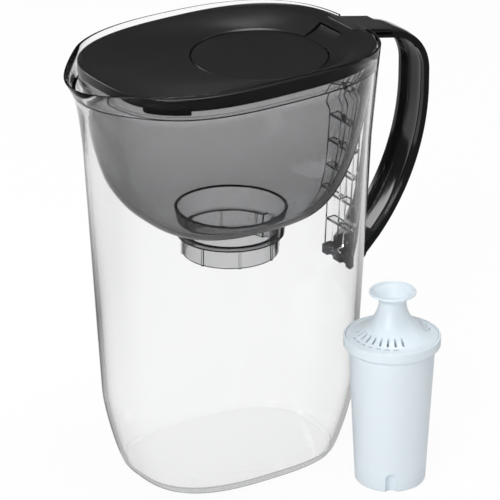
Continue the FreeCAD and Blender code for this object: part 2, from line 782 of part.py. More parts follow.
def main():
    lower_screen, upper_screen = screen_levels()
    pieces = {
        "tank": make_tank(),
        "handle": make_handle(),
        "handle_bracket": make_handle_bracket(tank_body(-seat_gap / 2, 0.0, tank_height)),
        "reservoir": make_reservoir(),
        "lid": make_lid(),
        "refill_flap": make_refill_flap(),
        "cartridge_cup": make_cartridge_cup(),
        "cartridge_cap": make_cartridge_cap(),
        "filter_media": make_filter_media(),
        "lower_screen": make_screen(lower_screen),
        "upper_screen": make_screen(upper_screen),
    }
    os.makedirs("parts", exist_ok=True)
    for name, shape in pieces.items():
        shape.exportStep("parts/" + name + ".step")
        print(name, "solids", len(shape.Solids), "valid", shape.isValid(), "volume", round(shape.Volume))


main()
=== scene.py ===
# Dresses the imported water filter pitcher: clear tank, smoked reservoir, dark lid and
# handle, and the pale filter cartridge beside it. Lengths are metres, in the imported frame.
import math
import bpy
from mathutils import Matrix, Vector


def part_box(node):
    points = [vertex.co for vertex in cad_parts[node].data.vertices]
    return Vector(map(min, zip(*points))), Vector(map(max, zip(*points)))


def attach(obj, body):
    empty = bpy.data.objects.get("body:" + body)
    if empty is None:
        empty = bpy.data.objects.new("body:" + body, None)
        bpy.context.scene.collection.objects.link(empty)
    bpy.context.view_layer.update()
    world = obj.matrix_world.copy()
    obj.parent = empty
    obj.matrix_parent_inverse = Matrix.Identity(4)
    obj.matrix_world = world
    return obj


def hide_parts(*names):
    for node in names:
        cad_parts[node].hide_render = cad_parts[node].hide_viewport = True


bl_info = {
    "name": "Water filter pitcher",
    "version": (1, 0, 0),
    "blender": (4, 5, 0),
    "location": "3D View > Sidebar > Pitcher",
    "description": "Models and finishes the visible pieces of a water filter pitcher",
    "category": "Object",
}

import bmesh
import bpy
from mathutils import Matrix, Vector

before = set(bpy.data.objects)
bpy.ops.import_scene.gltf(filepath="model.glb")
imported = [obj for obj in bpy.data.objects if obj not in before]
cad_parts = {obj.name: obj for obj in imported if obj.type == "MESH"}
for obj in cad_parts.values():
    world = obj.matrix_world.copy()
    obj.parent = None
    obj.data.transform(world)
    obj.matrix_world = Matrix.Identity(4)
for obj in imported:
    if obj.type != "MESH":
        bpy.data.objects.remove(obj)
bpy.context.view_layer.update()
TANK_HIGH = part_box("tank")[1]
RESERVOIR_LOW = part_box("reservoir")[0]
HANDLE_LOW, HANDLE_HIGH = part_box("handle")
BRACKET_LOW, BRACKET_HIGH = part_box("handle_bracket")
CUP_LOW, CUP_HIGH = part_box("cartridge_cup")
CAP_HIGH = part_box("cartridge_cap")[1]

MM = 0.001
OVAL = 2.8
STATIONS = 144
ROUND_STATIONS = 96
HALF_TURN = math.pi
FULL_TURN = 2 * math.pi


def length(name, description, default):
    """A length that the sidebar shows in the scene's units."""
    return bpy.props.FloatProperty(name=name, description=description, default=default,
                                   unit="LENGTH", precision=5)


def colour(name, description, default):
    """A scene linear colour."""
    return bpy.props.FloatVectorProperty(name=name, description=description, default=default,
                                         subtype="COLOR", size=3, min=0.0, max=1.0)


class PitcherTankSizes(bpy.types.PropertyGroup):
    """Sizes of the clear tank."""
    height: length("Height", "Rim above the foot", TANK_HIGH.z)
    rim_half_length: length("Rim half length", "Middle to the rear of the full oval at the rim", 90.7 * MM)
    rim_half_width: length("Rim half width", "Middle to the side of the rim", TANK_HIGH.y)
    shoulder_height: length("Shoulder height", "Where the wall starts to flare to the rim", 205 * MM)
    shoulder_half_length: length("Shoulder half length", "Half length at the shoulder", 85.3 * MM)
    shoulder_half_width: length("Shoulder half width", "Half width at the shoulder", 62.2 * MM)
    knee_height: length("Knee height", "Where the wall starts to turn in to the foot", 48 * MM)
    knee_half_length: length("Knee half length", "Half length at the knee", 77 * MM)
    knee_half_width: length("Knee half width", "Half width at the knee", 56 * MM)
    knee_shift: length("Knee shift", "How far the knee's middle lies behind the rim's", 0.7 * MM)
    foot_half_length: length("Foot half length", "Half length of the flat foot", 63.2 * MM)
    foot_half_width: length("Foot half width", "Half width of the flat foot", 46.1 * MM)
    wall: length("Wall", "Thickness of the wall", 2.8 * MM)
    floor: length("Floor", "Thickness of the bottom", 3.6 * MM)
    lip_wall: length("Lip wall", "Thickness of the wall above the ledge", 1.4 * MM)
    ledge_drop: length("Ledge drop", "Ledge for the reservoir below the rim", 16.5 * MM)
    spout_depth: length("Spout depth", "Height over which the spout flares", 60 * MM)
    spout_reach: length("Spout reach", "How far the spout stands out of the oval", 19.7 * MM)
    spout_half_width: length("Spout half width", "Half width of the flared part", 49 * MM)
    spout_dip: length("Spout dip", "How far the rim dips at the spout's tip", 5 * MM)
    crown_radius: length("Crown radius", "Radius of the rim's long arch, seen from the side", 1385 * MM)
    crown_x: length("Crown place", "Where the rim is highest", -22 * MM)


class PitcherColours(bpy.types.PropertyGroup):
    """Colours of the mouldings."""
    clear: colour("Clear", "What the depth of the clear plastic lets through", (0.45, 0.52, 0.52))
    smoke: colour("Smoke", "What the depth of the smoked plastic lets through", (0.40, 0.40, 0.41))
    black: colour("Black", "Colour of the lid and the handle", (0.006, 0.006, 0.0063))
    cartridge: colour("Cartridge", "Colour of the cartridge", (0.78, 0.87, 0.935))
    floor: colour("Floor", "Colour of the floor", (0.93, 0.93, 0.93))


class PitcherStage(bpy.types.PropertyGroup):
    """The camera's place."""
    azimuth: bpy.props.FloatProperty(name="Azimuth", description="Camera round from the side view",
                                     default=math.radians(34.01), subtype="ANGLE")
    elevation: bpy.props.FloatProperty(name="Elevation", description="Camera above the horizon",
                                       default=math.radians(23.87), subtype="ANGLE")
    distance: length("Distance", "Camera to the point it aims at", 2.4)
    lens: bpy.props.FloatProperty(name="Lens", description="Focal length in millimetres", default=289.8)


# Tank
FOOT_CURVE = 1.26
FOOT_EDGE = 1.6 * MM
FOOT_EDGE_TURNS = (0.3, 0.6, 1.0)
KNEE_STEPS = 15
WALL_STEPS = 30
LIP_STEPS = 9
SPOUT_DIP_RUN = 46 * MM

# Handle and its bracket
HANDLE_HALF_WIDTH = 13 * MM
HANDLE_DEPTH = 5 * MM
HANDLE_WALL = 2.3 * MM
HANDLE_HEM = 2.6 * MM
HANDLE_CROWN = 1.0 * MM
HANDLE_SLOPE = math.radians(11.3)
HANDLE_CORNER_RADIUS = 31 * MM
HANDLE_CORNER_DROP = 41.5 * MM
HANDLE_CORNER_STEPS = 20
HANDLE_UPRIGHT = 9.5 * MM
HANDLE_SWEEP_RADIUS = 135 * MM
HANDLE_SWEEP = math.radians(48.5)
HANDLE_SWEEP_STEPS = 34
HANDLE_SOLID_END = math.radians(6)
STRAP_STEPS = 15
STRAP_FLATNESS = 4
FOOT_PLATE_DEPTH = 6.2 * MM
FOOT_NOTCH_WIDTH = 6.0 * MM
FOOT_NOTCH_DEPTH = 3.6 * MM
FOOT_NOTCH_PLACE = 7.4 * MM
FOOT_NOTCH_RUN = 2.6 * MM
BRACKET_DEPTH = 8.0 * MM
BRACKET_WEB = 1.8 * MM
BRACKET_RIBS = 8
BRACKET_STEPS = 7
POCKET_DEPTHS = (5.0 * MM, 6.5 * MM)

# Reservoir
BOWL_CURVE = 2.2
BOWL_FLOOR_HALF_LENGTH = 42 * MM
BOWL_FLOOR_HALF_WIDTH = 38.6 * MM
BOWL_WALL = 2.0 * MM
BOWL_STEPS = 22
FLANGE_THICKNESS = 2.0 * MM
FLANGE_STEP = FLANGE_THICKNESS / 4
BAND_HEIGHT = 6.2 * MM
BAND_WALL = 1.7 * MM
COLLAR_X = 1.0 * MM
SLEEVE_RADIUS = 26.8 * MM
SLEEVE_LENGTH = 14.0 * MM
SEAT_RADIUS = 30.2 * MM
COLLAR_MOUTH_RADIUS = 31.9 * MM
COLLAR_DEPTH = 28.4 * MM
COLLAR_WALL = 1.9 * MM
COLLAR_KEY_WIDTH = 8.0 * MM
COLLAR_KEY_DEPTH = 2.6 * MM
RIB_COUNT = 8
RIB_SIZE = Vector((1.8, 1.5, 12.0)) * MM

# Lid and its thumb pad
LID_EDGE_DROP = 2.7 * MM
LID_CROWN_RADIUS = 2150 * MM
LID_CROWN_X = -2.4 * MM
LID_DECK = 10 * MM
LID_BEAD = 0.25 * MM
LID_BORDER = 2.2 * MM
LID_THICKNESS = 2.2 * MM
LID_DISH = 8.6 * MM
LID_EASE = 0.35
LID_STEPS = 14
LID_ROUND = 0.9 * MM
SKIRT_WALL = 1.8 * MM
SKIRT_LENGTH = 1.8 * MM
SKIRT_BLOCK = 4.4 * MM
SKIRT_FRONT = 78 * MM
SKIRT_BLOCK_RUN = 19 * MM
TONGUE_THICKNESS = 1.9 * MM
TONGUE_PROUD = 1.1 * MM
TONGUE_REACH = 18.5 * MM
TONGUE_INSET = 11 * MM
TONGUE_STEPS = 6
PAD_EDGE = 0.9 * MM

# Refill flap and its lever
FLAP_X = 22.4 * MM
FLAP_RADIUS = 40.4 * MM
FLAP_GAP = 0.6 * MM
FLAP_SINK = 0.5 * MM
FLAP_THICKNESS = 2.4 * MM
FLAP_DISH = 0.8 * MM
FLAP_ROUND = 0.7 * MM
FLAP_STEPS = 16
LEDGE_WIDTH = 2.4 * MM
LEDGE_THICKNESS = 1.8 * MM
WELL_WALL = 2.0 * MM
LEVER_HALF_WIDTH = 10.6 * MM
LEVER_LENGTH = 9.0 * MM
LEVER_RISE = 2.8 * MM
LEVER_SCOOP = 0.8 * MM
LEVER_LOW_ANGLE = math.radians(-9)
LEVER_HIGH_ANGLE = math.radians(41)
LEVER_STEPS = 9
HINGE_BACK = 3.4 * MM
HINGE_SINK = 0.9 * MM
CHEEK_WALL = 2.6 * MM
PIN_RADIUS = 1.2 * MM
PIN_LENGTH = 2.0 * MM
PIN_GAP = 0.1 * MM

# Cartridge
AXIS = 0.2 * MM
CUP_FOOT = 21.2 * MM
CUP_FOOT_ROUND = 2.0 * MM
CUP_FOOT_END = -0.05
CUP_BODY = 25.6 * MM
CUP_FLANGE = 29.0 * MM
CUP_FLANGE_LEVEL = 88.5 * MM
CUP_FLANGE_SLOPE = 2.6 * MM
CUP_FLANGE_HEM = 0.3 * MM
CUP_WALL = 1.5 * MM
CUP_LIP_WALL = 1.3 * MM
CUP_LIP_ROUND = 0.6 * MM
CUP_RECESS = 2.2 * MM
KEY_RADIUS = 3.7 * MM
KEY_TURN = math.radians(236)
KEY_HEIGHT = 8.9 * MM
CAP_RIM = 27.5 * MM
CAP_RIM_DEPTH = 2.0 * MM
CAP_RIM_EDGE = 0.3 * MM
CAP_WALL = 1.6 * MM
CAP_BELL = 24.6 * MM
CAP_NECK = 8.1 * MM
CAP_NECK_DROP = 7.4 * MM
CAP_FUNNEL = 14.0 * MM
CAP_FUNNEL_LIP = 1.2 * MM
CAP_FUNNEL_ROUND = 0.6 * MM
CAP_HOLE = 1.0 * MM
CAP_HOLE_DIP = 0.4 * MM
CAP_SEAM = 0.1 * MM
BELL_CURVE = (1.6, 1.4)
FUNNEL_CURVE = (1.6, 0.8)
FUNNEL_INNER_CURVE = 0.7
SLOT_TURN = math.radians(201)
SLOT_PITCH = math.radians(13)
# Each row of slots: count, inner and outer radius, width
SLOT_ROWS = ((9, 16.6 * MM, 21.2 * MM, 1.3 * MM), (7, 22.7 * MM, 23.7 * MM, 3.0 * MM))

# Fits and edges
FIT_GAP = 0.4 * MM
SEAT_GAP = 0.2 * MM
OVERRUN = 6 * MM
SOFT_EDGE = 0.5 * MM
FINE_EDGE = 0.3 * MM
MERGE = 0.001 * MM
ROUNDING_STEPS = 5
SHARP_ANGLE = math.radians(32)

# Finishes: a surface is its roughness and the strength of its moulded grain
PLASTIC_IOR = 1.46
CLEAR_DENSITY = 9.0
SMOKE_DENSITY = 400.0
CLEAR_GLINT = (0.4, 0.4, 0.4, 1.0)
HANDLE_SURFACE = (0.1, 0.02)
LID_SURFACE = (0.25, 0.10)
FLAP_SURFACE = (0.26, 0.06)
CARTRIDGE_SURFACE = (0.36, 0.08)
GRAIN_DEPTH = 0.2 * MM
GRANULE_SCALE = 900.0
THREAD_SCALE = 260.0

# Stage: shades go by place, from before the pitcher to behind it or from the horizon up
AIM_POINT = Vector((4.845, 0, 130)) * MM
AIM_RIGHT = 8.95 * MM
AIM_UP = 2.27 * MM
SENSOR_WIDTH = 36.0
FAR_CLIP = 50.0
FLOOR_HALF_SIZE = 9.0
GLOW_SHARE = 0.94
MIRRORED_FLOOR = ((0.0, 0.05), (0.54, 0.07), (0.70, 0.85), (1.0, 0.95))
SWEEP_TURN = math.radians(56)
SWEEP_REACH = 0.9
FOOT_GLOW = (0.14, 0.36)
FOOT_SHADE = 0.5
OPEN_SKY = ((0.0, 1.0), (0.04, 0.9), (0.16, 0.25), (0.6, 0.2), (1.0, 0.5))
MIRRORED_SKY = ((0.0, 0.12), (0.2, 0.09), (0.6, 0.12), (1.0, 0.4))
WHITE = (1.0, 1.0, 1.0, 1.0)
LAMP_AIM = (0.0, 0.0, 0.13)
# Each lamp: name, place, aim, size, watts
LAMPS = (
    ("key softbox", (-1.35, -0.9, 1.1), LAMP_AIM, (0.9, 0.9), 19.0),
    ("right strip", (1.5, -0.5, 0.8), LAMP_AIM, (0.3, 1.2), 4.0),
    ("back strip", (-0.45, 0.95, 0.75), (0.11, 0.0, 0.15), (0.3, 0.7), 4.0),
    ("top softbox", (0.1, -0.1, 1.6), LAMP_AIM, (0.7, 0.7), 8.0),
)


def tank():
    return bpy.context.scene.pitcher_tank


def colours():
    return bpy.context.scene.pitcher_colours


def mix(start, end, part):
    """The value or vector a part of the way from start to end."""
    return start + (end - start) * part


def steps(count):
    """Even shares from 0 to 1."""
    return [index / (count - 1) for index in range(count)]


def rounding(radius):
    """How far a rounded edge stands in and up, from its foot to its top."""
    angles = [HALF_TURN / 2 * part for part in steps(ROUNDING_STEPS)]
    return [(radius * (1 - math.cos(angle)), radius * math.sin(angle)) for angle in angles]


def outwards(angle):
    """A direction in the upright plane from spout to handle, by its angle above the horizon."""
    return Vector((math.cos(angle), 0, math.sin(angle)))


# Modelling
class Shell:
    """A wall raised ring by ring: each ring is extruded from the last and laid on its outline."""

    def __init__(self, stations=STATIONS):
        self.mesh = bmesh.new()
        self.station = self.mesh.verts.layers.int.new("station")
        self.stations = stations
        circle = bmesh.ops.create_circle(self.mesh, segments=stations, radius=1.0)["verts"]
        for index, vert in enumerate(circle):
            vert[self.station] = index
        self.first = list(self.mesh.edges)
        self.last = self.first
        self.started = False

    def lay(self, *rings):
        """Adds rings whose stations lie where ring(turn) says, with turn from 0 to a full turn."""
        for ring in rings:
            if self.started:
                made = bmesh.ops.extrude_edge_only(self.mesh, edges=self.last)["geom"]
                self.last = [part for part in made
                             if isinstance(part, bmesh.types.BMEdge) and part.is_boundary]
            self.started = True
            for vert in {vert for edge in self.last for vert in edge.verts}:
                vert.co = ring(FULL_TURN * vert[self.station] / self.stations)

    def cap_first(self):
        bmesh.ops.contextual_create(self.mesh, geom=self.first)

    def cap_last(self):
        bmesh.ops.contextual_create(self.mesh, geom=self.last)

    def close(self):
        """Joins the last ring to the first."""
        bmesh.ops.bridge_loops(self.mesh, edges=self.first + self.last)


def piece_from(mesh, name, soft_edge=0.0):
    """Turns a bmesh into a smooth shaded object with crisp edges, softened by a small bevel."""
    bmesh.ops.recalc_face_normals(mesh, faces=mesh.faces)
    data = bpy.data.meshes.new(name)
    mesh.to_mesh(data)
    mesh.free()
    piece = bpy.data.objects.new(name, data)
    bpy.context.scene.collection.objects.link(piece)
    smooth(piece)
    if soft_edge:
        soften(piece, soft_edge)
    return piece


def smooth(piece):
    """Shades a piece smooth, but for its crisp edges."""
    data = piece.data
    data.polygons.foreach_set("use_smooth", [True] * len(data.polygons))
    data.set_sharp_from_angle(angle=SHARP_ANGLE)


def soften(piece, width):
    """Rounds a piece's crisp edges."""
    bevel = piece.modifiers.new("soft edges", "BEVEL")
    bevel.width = width
    bevel.segments = 2
    bevel.limit_method = "ANGLE"
    bevel.angle_limit = SHARP_ANGLE
    bevel.harden_normals = True


def carve(piece, cutter, operation="DIFFERENCE"):
    """Cuts a piece with another one, which is used up."""
    step = piece.modifiers.new("cut", "BOOLEAN")
    step.operation = operation
    step.solver = "EXACT"
    step.object = cutter
    result = bpy.data.meshes.new_from_object(piece.evaluated_get(bpy.context.evaluated_depsgraph_get()))
    piece.modifiers.clear()
    piece.data = result
    bpy.data.objects.remove(cutter)
    smooth(piece)


def block(low, high, name="block"):
    """A box between two corners."""
    mesh = bmesh.new()
    bmesh.ops.create_cube(mesh, size=1.0)
    low = Vector(low)
    high = Vector(high)
    bmesh.ops.scale(mesh, vec=high - low, verts=mesh.verts)
    bmesh.ops.translate(mesh, vec=(low + high) / 2, verts=mesh.verts)
    return piece_from(mesh, name)


def slab(points, half_width, name, soft_edge=0.0, middle=0.0):
    """A solid of a profile in the XZ plane, as wide to both sides of its middle."""
    mesh = bmesh.new()
    corners = [mesh.verts.new((x, middle - half_width, z)) for x, z in points]
    face = mesh.faces.new(corners)
    made = bmesh.ops.extrude_face_region(mesh, geom=[face])["geom"]
    moved = [part for part in made if isinstance(part, bmesh.types.BMVert)]
    bmesh.ops.translate(mesh, vec=(0, 2 * half_width, 0), verts=moved)
    return piece_from(mesh, name, soft_edge)


def rod(middle, radius, half_length, name):
    """A round bar along Y."""
    mesh = bmesh.new()
    bmesh.ops.create_cone(mesh, cap_ends=True, segments=ROUND_STATIONS,
                          radius1=radius, radius2=radius, depth=2 * half_length)
    bmesh.ops.rotate(mesh, matrix=Matrix.Rotation(HALF_TURN / 2, 3, "X"), verts=mesh.verts)
    bmesh.ops.translate(mesh, vec=middle, verts=mesh.verts)
    return piece_from(mesh, name)


def dress(piece, body, slot, finish, *nodes):
    """Gives a piece its finish and its body, and lets it stand for CAD nodes."""
    piece.data.materials.clear()
    piece.data.materials.append(finish)
    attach(piece, body)
    if nodes:
        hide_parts(*nodes)


# Outlines
def oval(turn, half_length, half_width, fullness=OVAL):
    """A point of a squared oval, in the direction of turn."""
    along = math.cos(turn)
    across = math.sin(turn)
    power = (abs(along) / half_length) ** fullness + (abs(across) / half_width) ** fullness
    radius = power ** (-1 / fullness)
    return Vector((radius * along, radius * across, 0))


def ring_at(level, half_length, half_width, shift=0.0, fullness=OVAL):
    """A ring for Shell.lay: an oval at one level."""
    return lambda turn: oval(turn, half_length, half_width, fullness) + Vector((shift, 0, level))


def crowned_ring(level, half_length, half_width):
    """A ring for Shell.lay: an oval that follows the arch of the lid."""
    def place(turn):
        point = oval(turn, half_length, half_width)
        return point + Vector((0, 0, level - lid_crown_drop(point.x)))

    return place


def circle_at(level, radius, x=0.0, y=0.0):
    """A ring for Shell.lay: a circle at one level."""
    return lambda turn: Vector((x + radius * math.cos(turn), y + radius * math.sin(turn), level))


def tank_plan(level):
    """Half length, half width and shift of the tank's outside at one level."""
    size = tank()
    if level >= size.shoulder_height:
        part = (level - size.shoulder_height) / (size.height - size.shoulder_height)
        return (mix(size.shoulder_half_length, size.rim_half_length, part),
                mix(size.shoulder_half_width, size.rim_half_width, part), 0.0)
    if level >= size.knee_height:
        part = (level - size.knee_height) / (size.shoulder_height - size.knee_height)
        return (mix(size.knee_half_length, size.shoulder_half_length, part),
                mix(size.knee_half_width, size.shoulder_half_width, part), mix(size.knee_shift, 0.0, part))
    part = (size.knee_height - max(level, 0.0)) / size.knee_height
    bend = 1 - (1 - part ** FOOT_CURVE) ** (1 / FOOT_CURVE)
    return (mix(size.knee_half_length, size.foot_half_length, bend),
            mix(size.knee_half_width, size.foot_half_width, bend), mix(size.knee_shift, 0.0, bend))


def crown_drop(x):
    """How far the arched rim has fallen from its highest place."""
    return (x - tank().crown_x) ** 2 / (2 * tank().crown_radius)


def lid_crown_drop(x):
    """How far the arched lid has fallen from its highest place."""
    return (x - LID_CROWN_X) ** 2 / (2 * LID_CROWN_RADIUS)


def rim_level(x):
    """Level of the rim at one place along the pitcher: arched, and dipping at the spout."""
    size = tank()
    dip_start = SPOUT_DIP_RUN - size.rim_half_length - size.spout_reach
    dip = size.spout_dip * max(0.0, dip_start - x) / SPOUT_DIP_RUN
    return size.height - max(crown_drop(x), dip)


def tank_point(turn, level, inset):
    """A point of the tank's wall, drawn out at the spout."""
    size = tank()
    half_length, half_width, shift = tank_plan(level)
    rise = max(0.0, level - size.shoulder_height) / (size.height - size.shoulder_height)
    point = oval(turn, half_length - inset, half_width - inset)
    if point.x < 0 and abs(point.y) < size.spout_half_width:
        window = math.cos(HALF_TURN * point.y / (2 * size.spout_half_width)) ** 2
        point.x -= size.spout_reach * rise ** 2 * window
    return point + Vector((shift, 0, level))


def tank_ring(level, inset):
    """A ring for Shell.lay: the tank's wall at one level, eased above the ledge to the arched rim."""
    size = tank()

    def place(turn):
        if level <= ledge_level():
            return tank_point(turn, level, inset)
        part = (level - ledge_level()) / size.ledge_drop
        lower = mix(ledge_level(), rim_level(tank_point(turn, level, inset).x), part)
        return tank_point(turn, lower, inset)

    return place


def ledge_level():
    return tank().height - tank().ledge_drop


def flange_level():
    return ledge_level() + SEAT_GAP


def band_top():
    return flange_level() + BAND_HEIGHT


def lid_under():
    return band_top() + SEAT_GAP


def lid_top():
    return tank().height - LID_EDGE_DROP


def dish_level():
    return lid_top() - LID_DISH


def flap_top():
    return dish_level() - FLAP_SINK


def flap_bottom():
    return flap_top() - FLAP_THICKNESS


def hinge_point():
    return Vector((FLAP_X + FLAP_RADIUS + HINGE_BACK, 0, flap_top() - HINGE_SINK))


def lever_reach():
    """How far the lever's heel lies from the hinge."""
    return math.hypot(LEVER_LENGTH, LEVER_RISE + HINGE_SINK)


def lever_end():
    """Where the lever's channel in the lid ends."""
    return hinge_point().x + lever_reach() + FLAP_GAP


def rear_wall(level):
    """Where the tank's rear wall stands at one level."""
    half_length, _, shift = tank_plan(level)
    return half_length + shift


def handle_corner():
    return Vector((HANDLE_HIGH.x - HANDLE_CORNER_RADIUS, 0, tank().height - HANDLE_CORNER_DROP))


def sweep_centre():
    level = tank().height - HANDLE_CORNER_DROP - HANDLE_UPRIGHT
    return Vector((HANDLE_HIGH.x - HANDLE_SWEEP_RADIUS, 0, level))


def handle_line(x):
    """Level of the handle's sloping top at one place."""
    upwards = Vector((math.sin(HANDLE_SLOPE), 0, math.cos(HANDLE_SLOPE)))
    start = handle_corner() + HANDLE_CORNER_RADIUS * upwards
    return start.z - (x - start.x) * math.tan(HANDLE_SLOPE)


def tongue_end():
    return tank().rim_half_length + TONGUE_REACH


# Shading
def feed(tree, socket, value):
    """Links a wire to a socket, or sets the socket to a plain value."""
    if isinstance(value, Wire):
        tree.links.new(value.socket, socket)
    else:
        socket.default_value = value


class Wire:
    """A shader socket that takes part in Python arithmetic."""

    def __init__(self, tree, socket):
        self.tree = tree
        self.socket = socket

    def math(self, operation, first, second):
        node = self.tree.nodes.new("ShaderNodeMath")
        node.operation = operation
        feed(self.tree, node.inputs[0], first)
        feed(self.tree, node.inputs[1], second)
        return Wire(self.tree, node.outputs[0])

    def __add__(self, other):
        return self.math("ADD", self, other)

    def __radd__(self, other):
        return self.math("ADD", other, self)

    def __sub__(self, other):
        return self.math("SUBTRACT", self, other)

    def __rsub__(self, other):
        return self.math("SUBTRACT", other, self)

    def __mul__(self, other):
        return self.math("MULTIPLY", self, other)

    def __rmul__(self, other):
        return self.math("MULTIPLY", other, self)

    def above(self, other):
        return self.math("MAXIMUM", self, other)

    def below(self, other):
        return self.math("MINIMUM", self, other)


class Finish:
    """A material, or the world, and the nodes that make it."""

    def __init__(self, owner):
        owner.use_nodes = True
        self.owner = owner
        self.tree = owner.node_tree
        self.tree.nodes.clear()

    def node(self, kind, output=0, settings=(), sockets=()):
        """Adds a node with its settings and its sockets' values or links, and returns one output."""
        node = self.tree.nodes.new(kind)
        for name, value in dict(settings).items():
            if name == "stops":
                self.set_stops(node.color_ramp, value)
            else:
                setattr(node, name, value)
        for name, value in dict(sockets).items():
            feed(self.tree, node.inputs[name], value)
        return Wire(self.tree, node.outputs[output]) if node.outputs else node

    def set_stops(self, ramp, stops):
        while len(ramp.elements) < len(stops):
            ramp.elements.new(1.0)
        for element, (position, value) in zip(ramp.elements, stops):
            element.position = position
            element.color = value

    def place(self):
        """Object coordinates."""
        return self.node("ShaderNodeTexCoord", "Object")

    def noise(self, scale, detail=2.0, stretch=(1.0, 1.0, 1.0)):
        vector = self.node("ShaderNodeMapping", sockets={"Vector": self.place(), "Scale": stretch})
        return self.node("ShaderNodeTexNoise", "Fac",
                         sockets={"Vector": vector, "Scale": scale, "Detail": detail})

    def bump(self, height, strength, distance):
        return self.node("ShaderNodeBump", "Normal",
                         sockets={"Height": height, "Strength": strength, "Distance": distance})

    def tint(self, factor, first, second):
        """A colour between two, by a factor that changes over the surface."""
        return self.node("ShaderNodeMix", 2, settings={"data_type": "RGBA"},
                         sockets={0: factor, 6: (*first, 1.0), 7: (*second, 1.0)})

    def surface(self, sockets, depth=None):
        """Ends the material: a surface and, in a clear one, what its depth takes from the light."""
        outputs = {"Surface": self.node("ShaderNodeBsdfPrincipled", sockets=sockets)}
        if depth:
            outputs["Volume"] = self.node("ShaderNodeVolumeAbsorption", sockets=depth)
        self.node("ShaderNodeOutputMaterial", sockets=outputs)
        return self.owner


def new_finish(name):
    return Finish(bpy.data.materials.new(name))


def grey_stops(stops):
    """Stops of a grey ramp from (place, shade)."""
    return [(place, (shade, shade, shade, 1.0)) for place, shade in stops]


def scaled(value, factor):
    """A colour made darker or lighter."""
    return tuple(min(1.0, part * factor) for part in value)


def clear_plastic():
    """Polished clear moulding with faint handling smears."""
    finish = new_finish("clear plastic")
    smears = finish.noise(28.0, 3.0, (1.0, 1.0, 0.35))
    waves = finish.noise(9.0, 1.0)
    return finish.surface({
        "Base Color": WHITE,
        "Transmission Weight": 1.0,
        "IOR": PLASTIC_IOR,
        "Specular Tint": CLEAR_GLINT,
        "Roughness": smears * 0.03,
        "Normal": finish.bump(waves, 0.05, 0.002),
    }, {"Color": (*colours().clear, 1.0), "Density": CLEAR_DENSITY})


def smoked_plastic():
    """Smoke grey moulding that light passes through."""
    finish = new_finish("smoked plastic")
    drift = finish.noise(14.0, 2.0)
    return finish.surface({
        "Base Color": finish.tint(drift, (0.94, 0.94, 0.94), (1.0, 1.0, 1.0)),
        "Transmission Weight": 1.0,
        "IOR": PLASTIC_IOR,
        "Specular Tint": CLEAR_GLINT,
        "Roughness": drift * 0.04,
    }, {"Color": (*colours().smoke, 1.0), "Density": SMOKE_DENSITY})


def black_plastic(name, roughness, grain):
    """Near black moulding: a moulded grain and slight changes in gloss."""
    finish = new_finish(name)
    drift = finish.noise(22.0, 3.0)
    fine = finish.noise(2600.0, 2.0)
    base = colours().black
    return finish.surface({
        "Base Color": finish.tint(drift, base, scaled(base, 1.6)),
        "Roughness": roughness + (drift - 0.5) * 0.08,
        "Normal": finish.bump(fine, grain, GRAIN_DEPTH),
    })


def cartridge_plastic():
    """Pale blue-white satin moulding."""
    finish = new_finish("cartridge plastic")
    drift = finish.noise(30.0, 3.0)
    fine = finish.noise(1500.0, 2.0)
    base = colours().cartridge
    roughness, grain = CARTRIDGE_SURFACE
    return finish.surface({
        "Base Color": finish.tint(drift, scaled(base, 0.97), scaled(base, 1.03)),
        "Roughness": roughness + (drift - 0.5) * 0.1,
        "Subsurface Weight": 0.15,
        "Subsurface Radius": (0.004, 0.005, 0.006),
        "Subsurface Scale": 1.0,
        "Normal": finish.bump(fine, grain, GRAIN_DEPTH),
    })


def granules():
    """Packed dark carbon and pale resin grains."""
    finish = new_finish("filter granules")
    grid = {"Vector": finish.place(), "Scale": GRANULE_SCALE}
    cells = finish.node("ShaderNodeTexVoronoi", "Color", sockets=grid)
    grain = finish.node("ShaderNodeTexVoronoi", "Distance", sockets=grid)
    pick = finish.node("ShaderNodeValToRGB", settings={
        "stops": [(0.0, (0.01, 0.01, 0.01, 1)), (0.55, (0.02, 0.02, 0.02, 1)), (0.8, (0.4, 0.33, 0.2, 1))]},
        sockets={"Fac": finish.node("ShaderNodeSeparateColor", 0, sockets={"Color": cells})})
    return finish.surface({"Base Color": pick, "Roughness": 0.7, "Normal": finish.bump(grain, 0.8, 0.0008)})


def screen_mesh():
    """Fine woven mesh."""
    finish = new_finish("screen mesh")
    threads = {"Vector": finish.place(), "Scale": THREAD_SCALE}
    warp = finish.node("ShaderNodeTexWave", "Fac", settings={"bands_direction": "X"}, sockets=threads)
    weft = finish.node("ShaderNodeTexWave", "Fac", settings={"bands_direction": "Y"}, sockets=threads)
    weave = warp.above(weft)
    return finish.surface({"Base Color": finish.tint(weave, (0.5, 0.51, 0.52), (0.85, 0.86, 0.86)),
                           "Roughness": 0.6, "Normal": finish.bump(weave, 0.6, 0.0004)})


